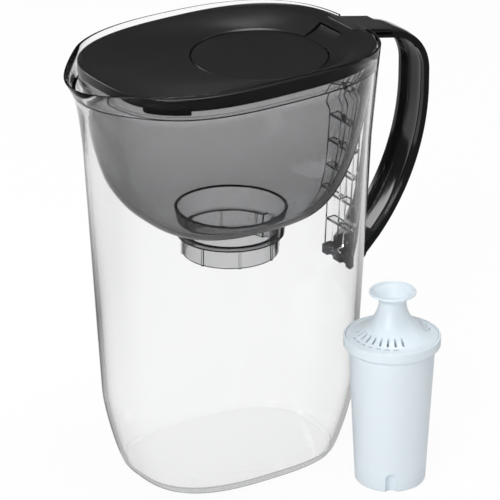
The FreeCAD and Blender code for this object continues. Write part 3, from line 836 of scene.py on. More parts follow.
# Pieces
def build_tank(finish):
    """The clear tank: up its outside, over the lip and down its inside."""
    size = tank()
    shell = Shell()
    shell.lay(tank_ring(0.0, FOOT_EDGE))
    shell.cap_first()
    for turn in FOOT_EDGE_TURNS:
        shell.lay(tank_ring(FOOT_EDGE * turn ** 2, FOOT_EDGE * (1 - turn) ** 2))
    levels = [size.knee_height * part for part in steps(KNEE_STEPS)[1:]]
    levels += [mix(size.knee_height, size.height, part) for part in steps(WALL_STEPS)[1:-1]]
    for level in [level for level in levels if level > FOOT_EDGE]:
        shell.lay(tank_ring(level, 0.0))
    lip = size.lip_wall / 2
    for turn in steps(LIP_STEPS):
        angle = HALF_TURN * turn
        shell.lay(tank_ring(size.height - lip + lip * math.sin(angle), lip - lip * math.cos(angle)))
    shell.lay(tank_ring(mix(ledge_level(), size.height, 0.5), size.lip_wall),
              tank_ring(ledge_level(), size.lip_wall),
              tank_ring(ledge_level(), size.wall))
    for level in [level for level in reversed(levels) if size.floor + FOOT_EDGE < level < ledge_level()]:
        shell.lay(tank_ring(level, size.wall))
    shell.lay(tank_ring(size.floor + FOOT_EDGE, size.wall),
              tank_ring(size.floor, size.wall + FOOT_EDGE))
    shell.cap_last()
    piece = piece_from(shell.mesh, "clear_tank")
    under = handle_line(size.rim_half_length) - TONGUE_THICKNESS - SEAT_GAP - FIT_GAP
    half = HANDLE_HALF_WIDTH + FIT_GAP
    carve(piece, block((size.rim_half_length - OVERRUN, -half, under),
                       (size.rim_half_length + OVERRUN, half, size.height + OVERRUN)))
    dress(piece, "pitcher", "clear_plastic", finish, "tank")


def build_bracket(finish):
    """The clear moulding between the rear wall and the handle: ribs round slanting pockets."""
    half = BRACKET_HIGH.y
    bottom = BRACKET_LOW.z
    top = BRACKET_HIGH.z
    levels = [mix(bottom, top, part) for part in steps(BRACKET_STEPS)]
    outer = [(rear_wall(level) + BRACKET_DEPTH, level) for level in levels]
    inner = [(rear_wall(level) + SEAT_GAP, level) for level in reversed(levels)]
    piece = slab(outer + inner, half, "clear_bracket")
    pitch = (top - bottom - BRACKET_WEB) / BRACKET_RIBS
    # Two pockets side by side leave a web at each side and one between them
    pocket_half = (half - 1.5 * BRACKET_WEB) / 2
    pocket_middle = pocket_half + BRACKET_WEB / 2
    for index in range(BRACKET_RIBS):
        low = bottom + BRACKET_WEB + pitch * index
        high = low + pitch - BRACKET_WEB
        for side in (0, 1):
            at_low, at_high = POCKET_DEPTHS if (index + side) % 2 else reversed(POCKET_DEPTHS)
            profile = [(rear_wall(low) - OVERRUN, low), (rear_wall(low) + at_low, low),
                       (rear_wall(high) + at_high, high), (rear_wall(high) - OVERRUN, high)]
            carve(piece, slab(profile, pocket_half, "pocket", middle=mix(-1, 1, side) * pocket_middle))
    soften(piece, SOFT_EDGE)
    dress(piece, "pitcher", "clear_plastic", finish, "handle_bracket")


def strap_section(outer, hollow):
    """Points round the strap's section as (depth under the outer line, place across)."""
    half = HANDLE_HALF_WIDTH
    hem = half - HANDLE_HEM
    scoop = HANDLE_DEPTH - HANDLE_WALL if hollow else 0.0
    across = [2 * part - 1 for part in steps(STRAP_STEPS)]
    crown = [(outer + HANDLE_CROWN * part ** STRAP_FLATNESS, half * part) for part in across]
    inside = [(HANDLE_DEPTH - scoop * (1 - part ** STRAP_FLATNESS), -hem * part) for part in across]
    return crown + [(HANDLE_DEPTH, half)] + inside + [(HANDLE_DEPTH, -half)]


def strap_path():
    """Stations along the strap as (point on the outer line, direction inwards, in the recess, hollow)."""
    corner = handle_corner()
    centre = sweep_centre()
    lean = Vector((-math.sin(HANDLE_SLOPE), 0, -math.cos(HANDLE_SLOPE)))
    start = rear_wall(handle_line(tank().rim_half_length)) + SEAT_GAP
    step = tongue_end() + SEAT_GAP
    path = []
    for x, recess, hollow in ((start, True, False), (step, True, False), (step, False, False),
                              (step + HANDLE_WALL, False, False), (step + HANDLE_WALL, False, True)):
        path.append((Vector((x, 0, handle_line(x))), lean, recess, hollow))
    for part in steps(HANDLE_CORNER_STEPS):
        out = outwards(mix(HALF_TURN / 2 - HANDLE_SLOPE, 0.0, part))
        path.append((corner + out * HANDLE_CORNER_RADIUS, -out, False, True))
    for part in steps(HANDLE_SWEEP_STEPS):
        out = outwards(-mix(0.0, HANDLE_SWEEP - HANDLE_SOLID_END, part))
        path.append((centre + out * HANDLE_SWEEP_RADIUS, -out, False, True))
    path.append((*path[-1][:3], False))
    out = outwards(-HANDLE_SWEEP)
    path.append((centre + out * HANDLE_SWEEP_RADIUS, -out, False, False))
    return path


def build_handle():
    """The strap handle with its foot."""
    shell = Shell(len(strap_section(0.0, True)))
    for point, inwards, recess, hollow in strap_path():
        section = strap_section(TONGUE_THICKNESS + SEAT_GAP if recess else 0.0, hollow)

        def place(turn, point=point, inwards=inwards, section=section):
            depth, across = section[round(turn / FULL_TURN * len(section)) % len(section)]
            return point + inwards * depth + Vector((0, across, 0))

        shell.lay(place)
    shell.cap_first()
    shell.cap_last()
    bmesh.ops.remove_doubles(shell.mesh, verts=shell.mesh.verts, dist=MERGE)
    strap = piece_from(shell.mesh, "handle_strap")
    finish = black_plastic("handle plastic", *HANDLE_SURFACE)
    dress(strap, "pitcher", "black_plastic", finish, "handle")
    build_handle_foot(finish)


def build_handle_foot(finish):
    """The notched plate under the bracket, and the root that joins it to the strap."""
    out = outwards(-HANDLE_SWEEP)
    end = sweep_centre() + HANDLE_SWEEP_RADIUS * out
    inner = end - HANDLE_DEPTH * out
    shelf = end.z
    low = HANDLE_LOW.z
    back = rear_wall(shelf) + SEAT_GAP
    front = back + FOOT_PLATE_DEPTH
    half = HANDLE_HIGH.y
    plate = block((back, -half, low), (front, half, shelf), "handle_foot")
    for side in (-1, 1):
        middle = side * FOOT_NOTCH_PLACE
        carve(plate, block((back - OVERRUN, middle - FOOT_NOTCH_WIDTH / 2, low - OVERRUN),
                           (back + FOOT_NOTCH_RUN, middle + FOOT_NOTCH_WIDTH / 2, low + FOOT_NOTCH_DEPTH)))
    soften(plate, SOFT_EDGE)
    dress(plate, "pitcher", "black_plastic", finish)
    root_low = end.z - (end.x - front) / math.tan(HANDLE_SWEEP)
    root = slab([(inner.x, shelf), (front, shelf), (front, root_low), (end.x, end.z), (inner.x, inner.z)],
                HANDLE_HALF_WIDTH, "handle_root", SOFT_EDGE)
    dress(root, "pitcher", "black_plastic", finish)


def bowl_ring(part, inset, lift):
    """A ring of the bowl, a part of the way down."""
    floor = RESERVOIR_LOW.z + COLLAR_DEPTH - BOWL_WALL
    half_length, half_width, _ = tank_plan(mix(flange_level(), floor, part))
    room = tank().wall + FIT_GAP
    bend = (1 - part ** BOWL_CURVE) ** (1 / BOWL_CURVE)
    return ring_at(mix(flange_level(), floor + lift, part),
                   mix(BOWL_FLOOR_HALF_LENGTH, half_length - room, bend) - inset,
                   mix(BOWL_FLOOR_HALF_WIDTH, half_width - room, bend) - inset)


def band_ring(level, inset):
    """A ring of the reservoir's upright band."""
    half_length, half_width, _ = tank_plan(ledge_level())
    less = tank().lip_wall + 2 * FIT_GAP + inset
    return ring_at(level, half_length - less, half_width - less)


def bowl_shares():
    """Shares of the way down the bowl, closer together where it turns in to the floor."""
    return [math.sin(part * HALF_TURN / 2) for part in steps(BOWL_STEPS)]


def build_reservoir():
    """The smoked bowl with its flange, band and collar: up the outside and down the inside."""
    bottom = RESERVOIR_LOW.z
    seat = bottom + SLEEVE_LENGTH
    top = bottom + COLLAR_DEPTH
    flange = flange_level()
    shell = Shell()
    shell.lay(circle_at(bottom, SLEEVE_RADIUS + COLLAR_WALL, COLLAR_X),
              circle_at(seat - COLLAR_WALL, SLEEVE_RADIUS + COLLAR_WALL, COLLAR_X),
              circle_at(seat - COLLAR_WALL, SEAT_RADIUS + COLLAR_WALL, COLLAR_X),
              circle_at(top - BOWL_WALL, COLLAR_MOUTH_RADIUS + COLLAR_WALL, COLLAR_X))
    shell.lay(*[bowl_ring(part, 0.0, 0.0) for part in reversed(bowl_shares())])
    shell.lay(band_ring(flange, -FIT_GAP),
              band_ring(flange + FLANGE_THICKNESS, -FIT_GAP),
              band_ring(flange + FLANGE_THICKNESS, 0.0),
              band_ring(band_top(), 0.0),
              band_ring(band_top(), BAND_WALL),
              band_ring(flange + FLANGE_STEP, BAND_WALL))
    shell.lay(*[bowl_ring(part, BOWL_WALL, BOWL_WALL) for part in bowl_shares()[1:]])
    shell.lay(circle_at(top, COLLAR_MOUTH_RADIUS, COLLAR_X),
              circle_at(seat, SEAT_RADIUS, COLLAR_X),
              circle_at(seat, SLEEVE_RADIUS, COLLAR_X),
              circle_at(bottom, SLEEVE_RADIUS, COLLAR_X))
    shell.close()
    piece = piece_from(shell.mesh, "smoked_reservoir")
    carve(piece, collar_ribs(bottom), "UNION")
    pocket = COLLAR_X + SLEEVE_RADIUS + COLLAR_KEY_DEPTH
    half = COLLAR_KEY_WIDTH / 2
    carve(piece, block((COLLAR_X + SLEEVE_RADIUS, -half - COLLAR_WALL, bottom),
                       (pocket + COLLAR_WALL, half + COLLAR_WALL, seat)), "UNION")
    carve(piece, block((COLLAR_X, -half, bottom - OVERRUN), (pocket, half, seat)))
    dress(piece, "reservoir_body", "smoked_plastic", smoked_plastic(), "reservoir")


def collar_ribs(bottom):
    """Thin upright ribs round the sleeve."""
    mesh = bmesh.new()
    for index in range(RIB_COUNT):
        made = bmesh.ops.create_cube(mesh, size=1.0)["verts"]
        bmesh.ops.scale(mesh, vec=RIB_SIZE, verts=made)
        out = Vector((SLEEVE_RADIUS + COLLAR_WALL, 0, bottom + RIB_SIZE.z / 2))
        bmesh.ops.translate(mesh, vec=out, verts=made)
        turn = Matrix.Rotation(FULL_TURN * (index + 0.5) / RIB_COUNT, 3, "Z")
        bmesh.ops.rotate(mesh, matrix=turn, verts=made)
        bmesh.ops.translate(mesh, vec=(COLLAR_X, 0, 0), verts=made)
    return piece_from(mesh, "ribs")


def lid_edge():
    """Half length and half width of the lid."""
    half_length, half_width, _ = tank_plan(lid_under())
    less = tank().lip_wall + FIT_GAP
    return half_length - less, half_width - less


def dish_ring(part, depth, half_length, half_width, radius, deck=0.0):
    """A ring of the dish, a part of the way from the arched border, or the deck, to the round opening."""
    ease = mix(part, part * part * (3 - 2 * part), LID_EASE)

    def place(turn):
        outside = oval(turn, half_length - deck / 2, half_width) - Vector((deck / 2, 0, 0))
        inside = Vector((FLAP_X + radius * math.cos(turn), radius * math.sin(turn), 0))
        border = lid_top() - LID_BEAD - lid_crown_drop(outside.x)
        return mix(outside, inside, part) + Vector((0, 0, mix(border, dish_level(), ease) - depth))

    return place


def skirt_plan(inset=0.0):
    """Half length and half width of the skirt, a little way in from its outside."""
    half_length, half_width, _ = tank_plan(ledge_level())
    less = tank().lip_wall + 3 * FIT_GAP + BAND_WALL
    return half_length - less - inset, half_width - less - inset


def build_lid():
    """The dished lid: over its border and dish to the flap's ledge, and back underneath to the skirt."""
    half_length, half_width = lid_edge()
    skirt_inside = skirt_plan(SKIRT_WALL)
    opening = FLAP_RADIUS + FLAP_GAP
    ledge = flap_bottom() - SEAT_GAP
    ledge_low = ledge - LEDGE_THICKNESS
    top = lid_top()
    shell = Shell()
    shell.lay(ring_at(lid_under(), half_length, half_width))
    for inset, rise in rounding(LID_ROUND):
        shell.lay(crowned_ring(top - LID_ROUND + rise, half_length - inset, half_width - inset))
    shell.lay(crowned_ring(top, half_length - LID_BORDER + LID_BEAD, half_width - LID_BORDER + LID_BEAD))
    dish_length = half_length - LID_BORDER
    dish_width = half_width - LID_BORDER
    shell.lay(dish_ring(0.0, 0.0, dish_length, dish_width, opening))
    for part in steps(LID_STEPS):
        shell.lay(dish_ring(part, 0.0, dish_length - FINE_EDGE, dish_width - FINE_EDGE,
                            opening + FLAP_GAP, LID_DECK))
    shell.lay(circle_at(dish_level() - FLAP_GAP, opening, FLAP_X),
              circle_at(ledge, opening, FLAP_X),
              circle_at(ledge, FLAP_RADIUS - LEDGE_WIDTH, FLAP_X),
              circle_at(ledge_low, FLAP_RADIUS - LEDGE_WIDTH, FLAP_X),
              circle_at(ledge_low, opening + WELL_WALL, FLAP_X))
    for part in reversed(steps(LID_STEPS)):
        shell.lay(dish_ring(part, LID_THICKNESS, *skirt_inside, opening + WELL_WALL))
    low = lid_under() - SKIRT_LENGTH
    shell.lay(ring_at(low, *skirt_inside), ring_at(low, *skirt_plan()), ring_at(lid_under(), *skirt_plan()))
    shell.close()
    piece = piece_from(shell.mesh, "dished_lid")
    wide = half_width + OVERRUN
    carve(piece, block((-half_length - OVERRUN, -wide, low - SEAT_GAP),
                       (-SKIRT_FRONT, wide, lid_under() - SEAT_GAP)))
    channel = LEVER_HALF_WIDTH + FIT_GAP
    carve(piece, block((FLAP_X + FLAP_RADIUS - OVERRUN, -channel, ledge_low - OVERRUN),
                       (hinge_point().x, channel, top + OVERRUN)))
    carve(piece, rod(hinge_point(), lever_end() - hinge_point().x, channel, "lever room"))
    soften(piece, FINE_EDGE)
    finish = black_plastic("lid plastic", *LID_SURFACE)
    dress(piece, "lid_body", "black_plastic", finish, "lid")
    build_cheeks(finish, ledge_low)
    build_skirt_ends(finish)
    build_tongue(finish)


def build_cheeks(finish, bottom):
    """Walls round the lever's channel, under the lid's top, with the holes for the hinge pins."""
    inner = LEVER_HALF_WIDTH + FIT_GAP
    outer = inner + CHEEK_WALL
    front = FLAP_X + FLAP_RADIUS + WELL_WALL
    end = lever_end()
    low_top = dish_level() - FLAP_GAP
    high_top = lid_top() - lid_crown_drop(end) - LID_THICKNESS
    walls = slab([(front, bottom), (end + CHEEK_WALL, bottom), (end + CHEEK_WALL, high_top), (end, high_top),
                  (front, low_top)], outer, "hinge_cheeks")
    carve(walls, block((front - OVERRUN, -inner, bottom - OVERRUN), (end, inner, high_top + OVERRUN)))
    carve(walls, rod(hinge_point(), PIN_RADIUS + PIN_GAP, outer - CHEEK_WALL + PIN_LENGTH, "holes"))
    soften(walls, FINE_EDGE / 2)
    dress(walls, "lid_body", "black_plastic", finish)


def build_skirt_ends(finish):
    """The deeper ends of the skirt at both sides of the spout."""
    outside = skirt_plan()
    inside = skirt_plan(SKIRT_WALL)
    low = lid_under() - SKIRT_BLOCK
    shell = Shell()
    shell.lay(ring_at(low, *outside), ring_at(lid_under(), *outside),
              ring_at(lid_under(), *inside), ring_at(low, *inside))
    shell.close()
    ends = piece_from(shell.mesh, "skirt_ends")
    wide = outside[1] + OVERRUN
    carve(ends, block((-SKIRT_FRONT, -wide, low - OVERRUN),
                      (-SKIRT_FRONT + SKIRT_BLOCK_RUN, wide, lid_under() + OVERRUN)), "INTERSECT")
    soften(ends, FINE_EDGE)
    dress(ends, "lid_body", "black_plastic", finish)


def build_tongue(finish):
    """The raised pad at the rear of the lid, which covers the start of the handle."""
    front = tank().rim_half_length - TONGUE_INSET
    end = tongue_end()
    edge = lid_edge()[0]
    under = lid_top() - lid_crown_drop(edge) - TONGUE_THICKNESS
    lower = [(front, under)] + [(x, handle_line(x) - TONGUE_THICKNESS) for x in (edge, end)]
    upper = [(x, handle_line(x) + TONGUE_PROUD)
             for x in [mix(end, front, part) for part in steps(TONGUE_STEPS)]]
    tongue = slab(lower + upper, HANDLE_HALF_WIDTH, "thumb_pad", PAD_EDGE)
    dress(tongue, "lid_body", "black_plastic", finish)


def build_flap():
    """The round refill flap, faintly dished, with its thumb lever."""
    top = flap_top()
    flat = FLAP_RADIUS - 2 * FLAP_ROUND
    shell = Shell()
    shell.lay(circle_at(flap_bottom(), FLAP_RADIUS, FLAP_X))
    shell.cap_first()
    for inset, rise in rounding(FLAP_ROUND):
        shell.lay(circle_at(top - FLAP_ROUND + rise, FLAP_RADIUS - inset, FLAP_X))
    for part in steps(FLAP_STEPS)[1:-1]:
        shell.lay(circle_at(top - FLAP_DISH * (1 - (1 - part) ** 2), flat * (1 - part), FLAP_X))
    shell.cap_last()
    disc = piece_from(shell.mesh, "refill_disc")
    finish = black_plastic("flap plastic", *FLAP_SURFACE)
    dress(disc, "flap_body", "black_plastic", finish, "refill_flap")
    build_lever(finish)


def build_lever(finish):
    """The scooped thumb lever behind the flap, and the hinge pins."""
    top = flap_top()
    bottom = flap_bottom()
    hinge = hinge_point()
    start = FLAP_X + FLAP_RADIUS
    heel = arc((hinge.x, hinge.z), lever_reach(), LEVER_LOW_ANGLE, LEVER_HIGH_ANGLE, LEVER_STEPS)
    back_x, back_z = heel[-1]
    scoop = [(mix(back_x, start, part), mix(back_z, top, part) - LEVER_SCOOP * math.sin(HALF_TURN * part))
             for part in steps(LEVER_STEPS)[1:]]
    lever = slab([(start - OVERRUN, bottom)] + heel + scoop + [(start - OVERRUN, top - FLAP_DISH)],
                 LEVER_HALF_WIDTH, "thumb_lever", FINE_EDGE)
    dress(lever, "flap_body", "black_plastic", finish)
    pins = rod(hinge, PIN_RADIUS, LEVER_HALF_WIDTH + PIN_LENGTH, "hinge_pins")
    dress(pins, "flap_body", "black_plastic", finish)


def build_cartridge():
    """The cup, hollow and with its key groove, and the slotted cap."""
    finish = cartridge_plastic()
    x = (CUP_LOW.x + CUP_HIGH.x) / 2
    y = (CUP_LOW.y + CUP_HIGH.y) / 2
    cup = turned("cartridge_cup_shell", x, y, cup_profile())
    carve(cup, key_cutter(x, y, KEY_RADIUS))
    cavity = turned("cavity", x, y, cavity_profile())
    carve(cavity, key_cutter(x, y, KEY_RADIUS + CUP_WALL))
    carve(cup, cavity)
    dress(cup, "cartridge", "cartridge_plastic", finish, "cartridge_cup")
    cap = turned("cartridge_cap_shell", x, y, cap_profile())
    carve(cap, slot_cutter(x, y))
    dress(cap, "cartridge", "cartridge_plastic", finish, "cartridge_cap")


def turned(name, x, y, profile):
    """A closed turned solid from (radius, level) points, from the axis round to the axis."""
    shell = Shell(ROUND_STATIONS)
    for radius, level in profile:
        shell.lay(circle_at(level, radius, x, y))
    shell.cap_first()
    shell.cap_last()
    return piece_from(shell.mesh, name)


def arc(centre, radius, start, end, count):
    """Points of an arc in the plane of a profile."""
    return [(centre[0] + radius * math.cos(mix(start, end, part)),
             centre[1] + radius * math.sin(mix(start, end, part))) for part in steps(count)]


def cup_profile():
    """The cup's outside: body, flange with its raised lip, and the recess for the cap."""
    level = CUP_FLANGE_LEVEL
    lip_top = CUP_HIGH.z
    corner = CUP_FOOT_ROUND
    soft = CUP_LIP_ROUND
    lip_inside = CUP_FLANGE - CUP_LIP_WALL
    points = [(AXIS, 0.0)]
    points += arc((CUP_FOOT - corner, corner), corner, -HALF_TURN / 2, CUP_FOOT_END, 6)
    points += [(mix(CUP_FOOT, CUP_BODY, part), mix(corner, level - CUP_FLANGE_SLOPE, part))
               for part in steps(10)[1:]]
    points += [(CUP_FLANGE - soft, level - CUP_FLANGE_HEM)]
    points += arc((CUP_FLANGE - soft, level + soft), soft, -HALF_TURN / 4, 0.0, 4)
    points += arc((CUP_FLANGE - soft, lip_top - soft), soft, 0.0, HALF_TURN / 2, 5)
    return points + [(lip_inside, lip_top), (lip_inside, lip_top - CUP_RECESS), (AXIS, lip_top - CUP_RECESS)]


def cavity_profile():
    """The cup's inside."""
    top = CUP_HIGH.z - CUP_RECESS + OVERRUN
    return [(AXIS, CUP_WALL), (CUP_FOOT - CUP_WALL, CUP_WALL), (CUP_BODY - CUP_WALL, top), (AXIS, top)]


def cap_profile():
    """The cap's section: rim, hollow bell, neck and pull funnel."""
    lip_top = CUP_HIGH.z
    top = CAP_HIGH.z
    base = lip_top - CAP_RIM_DEPTH
    neck_level = top - CAP_NECK_DROP
    neck_inside = CAP_NECK - CAP_WALL
    bell_inside = CAP_BELL - CAP_WALL
    inward, upward = BELL_CURVE
    points = [(bell_inside, base), (CAP_RIM, base), (CAP_RIM, lip_top - CAP_RIM_EDGE),
              (CAP_RIM - CAP_RIM_EDGE, lip_top)]
    points += [(mix(CAP_BELL, CAP_NECK, 1 - (1 - part) ** inward), mix(lip_top, neck_level, part ** upward))
               for part in steps(18)]
    outward, upward = FUNNEL_CURVE
    points += [(mix(CAP_NECK, CAP_FUNNEL, part ** outward),
                mix(neck_level, top - CAP_FUNNEL_LIP, part ** upward)) for part in steps(9)[1:]]
    points += arc((CAP_FUNNEL - CAP_FUNNEL_ROUND, top - CAP_FUNNEL_ROUND), CAP_FUNNEL_ROUND,
                  0.0, HALF_TURN, 6)
    points += [(mix(CAP_FUNNEL - CAP_WALL, neck_inside, part ** FUNNEL_INNER_CURVE),
                mix(top - CAP_WALL, neck_level, part)) for part in steps(8)]
    points += [(CAP_HOLE, neck_level - CAP_HOLE_DIP), (CAP_HOLE, neck_level - CAP_WALL)]
    points += [(mix(neck_inside, bell_inside, part ** 2),
                mix(neck_level - CAP_WALL, base + CAP_SEAM, 1 - (1 - part) ** 2)) for part in steps(10)[:-1]]
    return points


def key_cutter(x, y, radius):
    """The rounded groove at the foot of the cup."""
    tall = KEY_HEIGHT + radius
    mesh = bmesh.new()
    bmesh.ops.create_uvsphere(mesh, u_segments=32, v_segments=16, radius=radius)
    low = [vert for vert in mesh.verts if vert.co.z < -radius / 8]
    bmesh.ops.translate(mesh, vec=(0, 0, -tall - OVERRUN), verts=low)
    place = Vector((x + CUP_FOOT * math.cos(KEY_TURN), y + CUP_FOOT * math.sin(KEY_TURN), tall - radius))
    bmesh.ops.translate(mesh, vec=place, verts=mesh.verts)
    return piece_from(mesh, "groove")


def slot_cutter(x, y):
    """Rows of upright slots through the cap's bell, on two opposite sides."""
    mesh = bmesh.new()
    low = CUP_HIGH.z - OVERRUN
    high = CAP_HIGH.z - CAP_NECK_DROP
    for side in (0, 1):
        for count, inner, outer, width in SLOT_ROWS:
            for index in range(count):
                turn = SLOT_TURN + HALF_TURN * side + SLOT_PITCH * (index - (count - 1) / 2)
                made = bmesh.ops.create_cube(mesh, size=1.0)["verts"]
                bmesh.ops.scale(mesh, vec=(outer - inner, width, high - low), verts=made)
                bmesh.ops.translate(mesh, vec=((inner + outer) / 2, 0, (low + high) / 2), verts=made)
                bmesh.ops.rotate(mesh, matrix=Matrix.Rotation(turn, 3, "Z"), verts=made)
    bmesh.ops.translate(mesh, vec=(x, y, 0), verts=mesh.verts)
    return piece_from(mesh, "slots")


def dress_inside():
    """Finishes for the pieces that stay as they were built."""
    finishes = {"filter_media": granules(), "lower_screen": screen_mesh()}
    finishes["upper_screen"] = finishes["lower_screen"]
    for name, finish in finishes.items():
        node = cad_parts[name]
        node.data.materials.clear()
        node.data.materials.append(finish)


# Stage
def build_camera():
    """A camera at the photograph's angle, aimed just off the pitcher's middle."""
    stage = bpy.context.scene.pitcher_stage
    turn = stage.azimuth
    rise = stage.elevation
    back = Vector((-math.sin(turn) * math.cos(rise), -math.cos(turn) * math.cos(rise), math.sin(rise)))
    right = Vector((math.cos(turn), -math.sin(turn), 0))
    up = back.cross(right)
    data = bpy.data.cameras.new("camera")
    data.lens = stage.lens
    data.sensor_width = SENSOR_WIDTH
    data.clip_end = FAR_CLIP
    camera = bpy.data.objects.new("camera", data)
    bpy.context.scene.collection.objects.link(camera)
    target = AIM_POINT + right * AIM_RIGHT + up * AIM_UP
    camera.location = target + back * stage.distance
    camera.rotation_euler = (-back).to_track_quat("-Z", "Y").to_euler()
    bpy.context.scene.camera = camera


def seen_directly(finish):
    """One for rays from the camera, mirrors and clear plastic, and nothing for light that bounces."""
    camera, through, mirrored = [finish.node("ShaderNodeLightPath", ray)
                                 for ray in ("Is Camera Ray", "Is Transmission Ray", "Is Glossy Ray")]
    return camera.above(through).above(mirrored)


def mirrored_before(finish):
    """One for rays that a glossy surface has turned back, anywhere on their way."""
    return finish.node("ShaderNodeLightPath", "Glossy Depth").below(1.0)


def sweep_shade(finish):
    """What mirrors see of the floor: bright round the foot and behind the pitcher, dim before it."""
    turned_place = finish.node("ShaderNodeVectorRotate", settings={"rotation_type": "Z_AXIS"},
                               sockets={"Vector": finish.place(), "Angle": -SWEEP_TURN})
    along = finish.node("ShaderNodeSeparateXYZ", "X", sockets={"Vector": turned_place})
    behind = finish.node("ShaderNodeValToRGB", settings={"stops": grey_stops(MIRRORED_FLOOR)},
                         sockets={"Fac": along * (0.5 / SWEEP_REACH) + 0.5})
    away = finish.node("ShaderNodeVectorMath", "Value", settings={"operation": "LENGTH"},
                       sockets={0: finish.place()})
    near = finish.node("ShaderNodeMapRange", settings={"interpolation_type": "SMOOTHSTEP"},
                       sockets={"Value": away, "From Min": FOOT_GLOW[0], "From Max": FOOT_GLOW[1],
                                "To Min": FOOT_SHADE, "To Max": 0.0})
    return behind.above(near)


def build_floor():
    """A pale floor that keeps the shadow: mostly white where it is seen, matte for light that bounces."""
    mesh = bmesh.new()
    bmesh.ops.create_grid(mesh, x_segments=2, y_segments=2, size=FLOOR_HALF_SIZE)
    floor = piece_from(mesh, "floor")
    finish = new_finish("floor")
    matte = finish.node("ShaderNodeBsdfDiffuse", sockets={"Color": (*colours().floor, 1.0)})
    white = finish.node("ShaderNodeEmission", sockets={"Color": WHITE, "Strength": 1.0})
    dim = finish.node("ShaderNodeEmission", sockets={"Color": sweep_shade(finish), "Strength": 1.0})
    glow = finish.node("ShaderNodeMixShader", sockets={0: mirrored_before(finish), 1: white, 2: dim})
    seen = seen_directly(finish) * GLOW_SHARE
    both = finish.node("ShaderNodeMixShader", sockets={0: seen, 1: matte, 2: glow})
    finish.node("ShaderNodeOutputMaterial", sockets={"Surface": both})
    floor.data.materials.append(finish.owner)


def build_world():
    """A white backdrop, with a softer sky for light and a dimmer one for mirrors."""
    world = bpy.data.worlds.new("studio")
    bpy.context.scene.world = world
    finish = Finish(world)
    direction = finish.node("ShaderNodeTexCoord", "Generated")
    height = finish.node("ShaderNodeSeparateXYZ", "Z", sockets={"Vector": direction})
    skies = []
    for stops in (OPEN_SKY, MIRRORED_SKY):
        ramp = finish.node("ShaderNodeValToRGB", settings={"stops": grey_stops(stops)},
                           sockets={"Fac": height})
        skies.append(finish.node("ShaderNodeBackground", sockets={"Color": ramp, "Strength": 1.0}))
    sky = finish.node("ShaderNodeMixShader", sockets={0: mirrored_before(finish), 1: skies[0], 2: skies[1]})
    white = finish.node("ShaderNodeBackground", sockets={"Color": WHITE, "Strength": 1.0})
    camera = finish.node("ShaderNodeLightPath", "Is Camera Ray")
    both = finish.node("ShaderNodeMixShader", sockets={0: camera, 1: sky, 2: white})
    finish.node("ShaderNodeOutputWorld", sockets={"Surface": both})


def lamp(name, place, aim, size, power):
    """A soft rectangular lamp."""
    data = bpy.data.lights.new(name, "AREA")
    data.shape = "RECTANGLE"
    data.size, data.size_y = size
    data.energy = power
    light = bpy.data.objects.new(name, data)
    bpy.context.scene.collection.objects.link(light)
    light.location = place
    light.rotation_euler = (Vector(aim) - Vector(place)).to_track_quat("-Z", "Y").to_euler()


class PITCHER_OT_tank(bpy.types.Operator):
    """Model the clear tank and the clear bracket on its rear wall"""
    bl_idname = "pitcher.tank"
    bl_label = "Clear tank"

    def execute(self, context):
        finish = clear_plastic()
        build_tank(finish)
        build_bracket(finish)
        return {"FINISHED"}


class PITCHER_OT_handle(bpy.types.Operator):
    """Model the strap handle and its notched foot"""
    bl_idname = "pitcher.handle"
    bl_label = "Strap handle"

    def execute(self, context):
        build_handle()
        return {"FINISHED"}


class PITCHER_OT_reservoir(bpy.types.Operator):
    """Model the smoked reservoir and its collar"""
    bl_idname = "pitcher.reservoir"
    bl_label = "Smoked reservoir"

    def execute(self, context):
        build_reservoir()
        return {"FINISHED"}


class PITCHER_OT_lid(bpy.types.Operator):
    """Model the dished lid with its thumb pad"""
    bl_idname = "pitcher.lid"
    bl_label = "Dished lid"

    def execute(self, context):
        build_lid()
        return {"FINISHED"}


class PITCHER_OT_flap(bpy.types.Operator):
    """Model the round refill flap and its lever"""
    bl_idname = "pitcher.flap"
    bl_label = "Refill flap"

    def execute(self, context):
        build_flap()
        return {"FINISHED"}


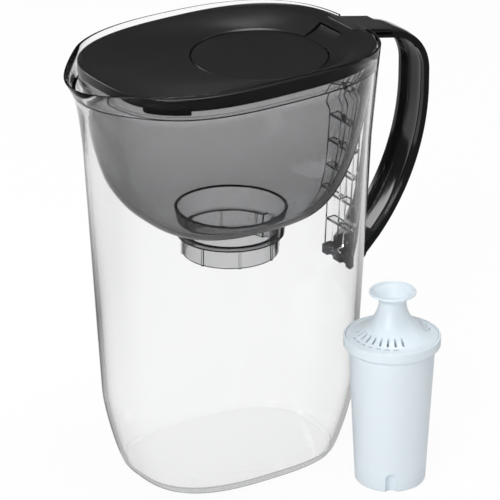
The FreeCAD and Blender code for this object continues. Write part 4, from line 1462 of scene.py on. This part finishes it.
class PITCHER_OT_cartridge(bpy.types.Operator):
    """Model the filter cartridge and finish what is inside it"""
    bl_idname = "pitcher.cartridge"
    bl_label = "Filter cartridge"

    def execute(self, context):
        build_cartridge()
        dress_inside()
        return {"FINISHED"}


class PITCHER_OT_stage(bpy.types.Operator):
    """Set up the floor, the light and the camera"""
    bl_idname = "pitcher.stage"
    bl_label = "Stage"

    def execute(self, context):
        bpy.context.scene.view_settings.view_transform = "Standard"
        build_camera()
        build_floor()
        build_world()
        for row in LAMPS:
            lamp(*row)
        return {"FINISHED"}


OPERATORS = (PITCHER_OT_tank, PITCHER_OT_handle, PITCHER_OT_reservoir, PITCHER_OT_lid, PITCHER_OT_flap,
             PITCHER_OT_cartridge, PITCHER_OT_stage)


class PITCHER_PT_panel(bpy.types.Panel):
    """Lists the pieces and their sizes"""
    bl_idname = "PITCHER_PT_panel"
    bl_label = "Water filter pitcher"
    bl_space_type = "VIEW_3D"
    bl_region_type = "UI"
    bl_category = "Pitcher"

    def draw(self, context):
        for operator in OPERATORS:
            self.layout.operator(operator.bl_idname)
        for group in (context.scene.pitcher_tank, context.scene.pitcher_colours, context.scene.pitcher_stage):
            for name in group.bl_rna.properties.keys():
                if name not in ("rna_type", "name"):
                    self.layout.prop(group, name)


CLASSES = (PitcherTankSizes, PitcherColours, PitcherStage, *OPERATORS, PITCHER_PT_panel)


def register():
    for made in CLASSES:
        bpy.utils.register_class(made)
    bpy.types.Scene.pitcher_tank = bpy.props.PointerProperty(type=PitcherTankSizes)
    bpy.types.Scene.pitcher_colours = bpy.props.PointerProperty(type=PitcherColours)
    bpy.types.Scene.pitcher_stage = bpy.props.PointerProperty(type=PitcherStage)


def unregister():
    del bpy.types.Scene.pitcher_stage
    del bpy.types.Scene.pitcher_colours
    del bpy.types.Scene.pitcher_tank
    for made in reversed(CLASSES):
        bpy.utils.unregister_class(made)


def main():
    register()
    bpy.ops.pitcher.stage()
    bpy.ops.pitcher.tank()
    bpy.ops.pitcher.handle()
    bpy.ops.pitcher.reservoir()
    bpy.ops.pitcher.lid()
    bpy.ops.pitcher.flap()
    bpy.ops.pitcher.cartridge()


if __name__ == "__main__":
    main()
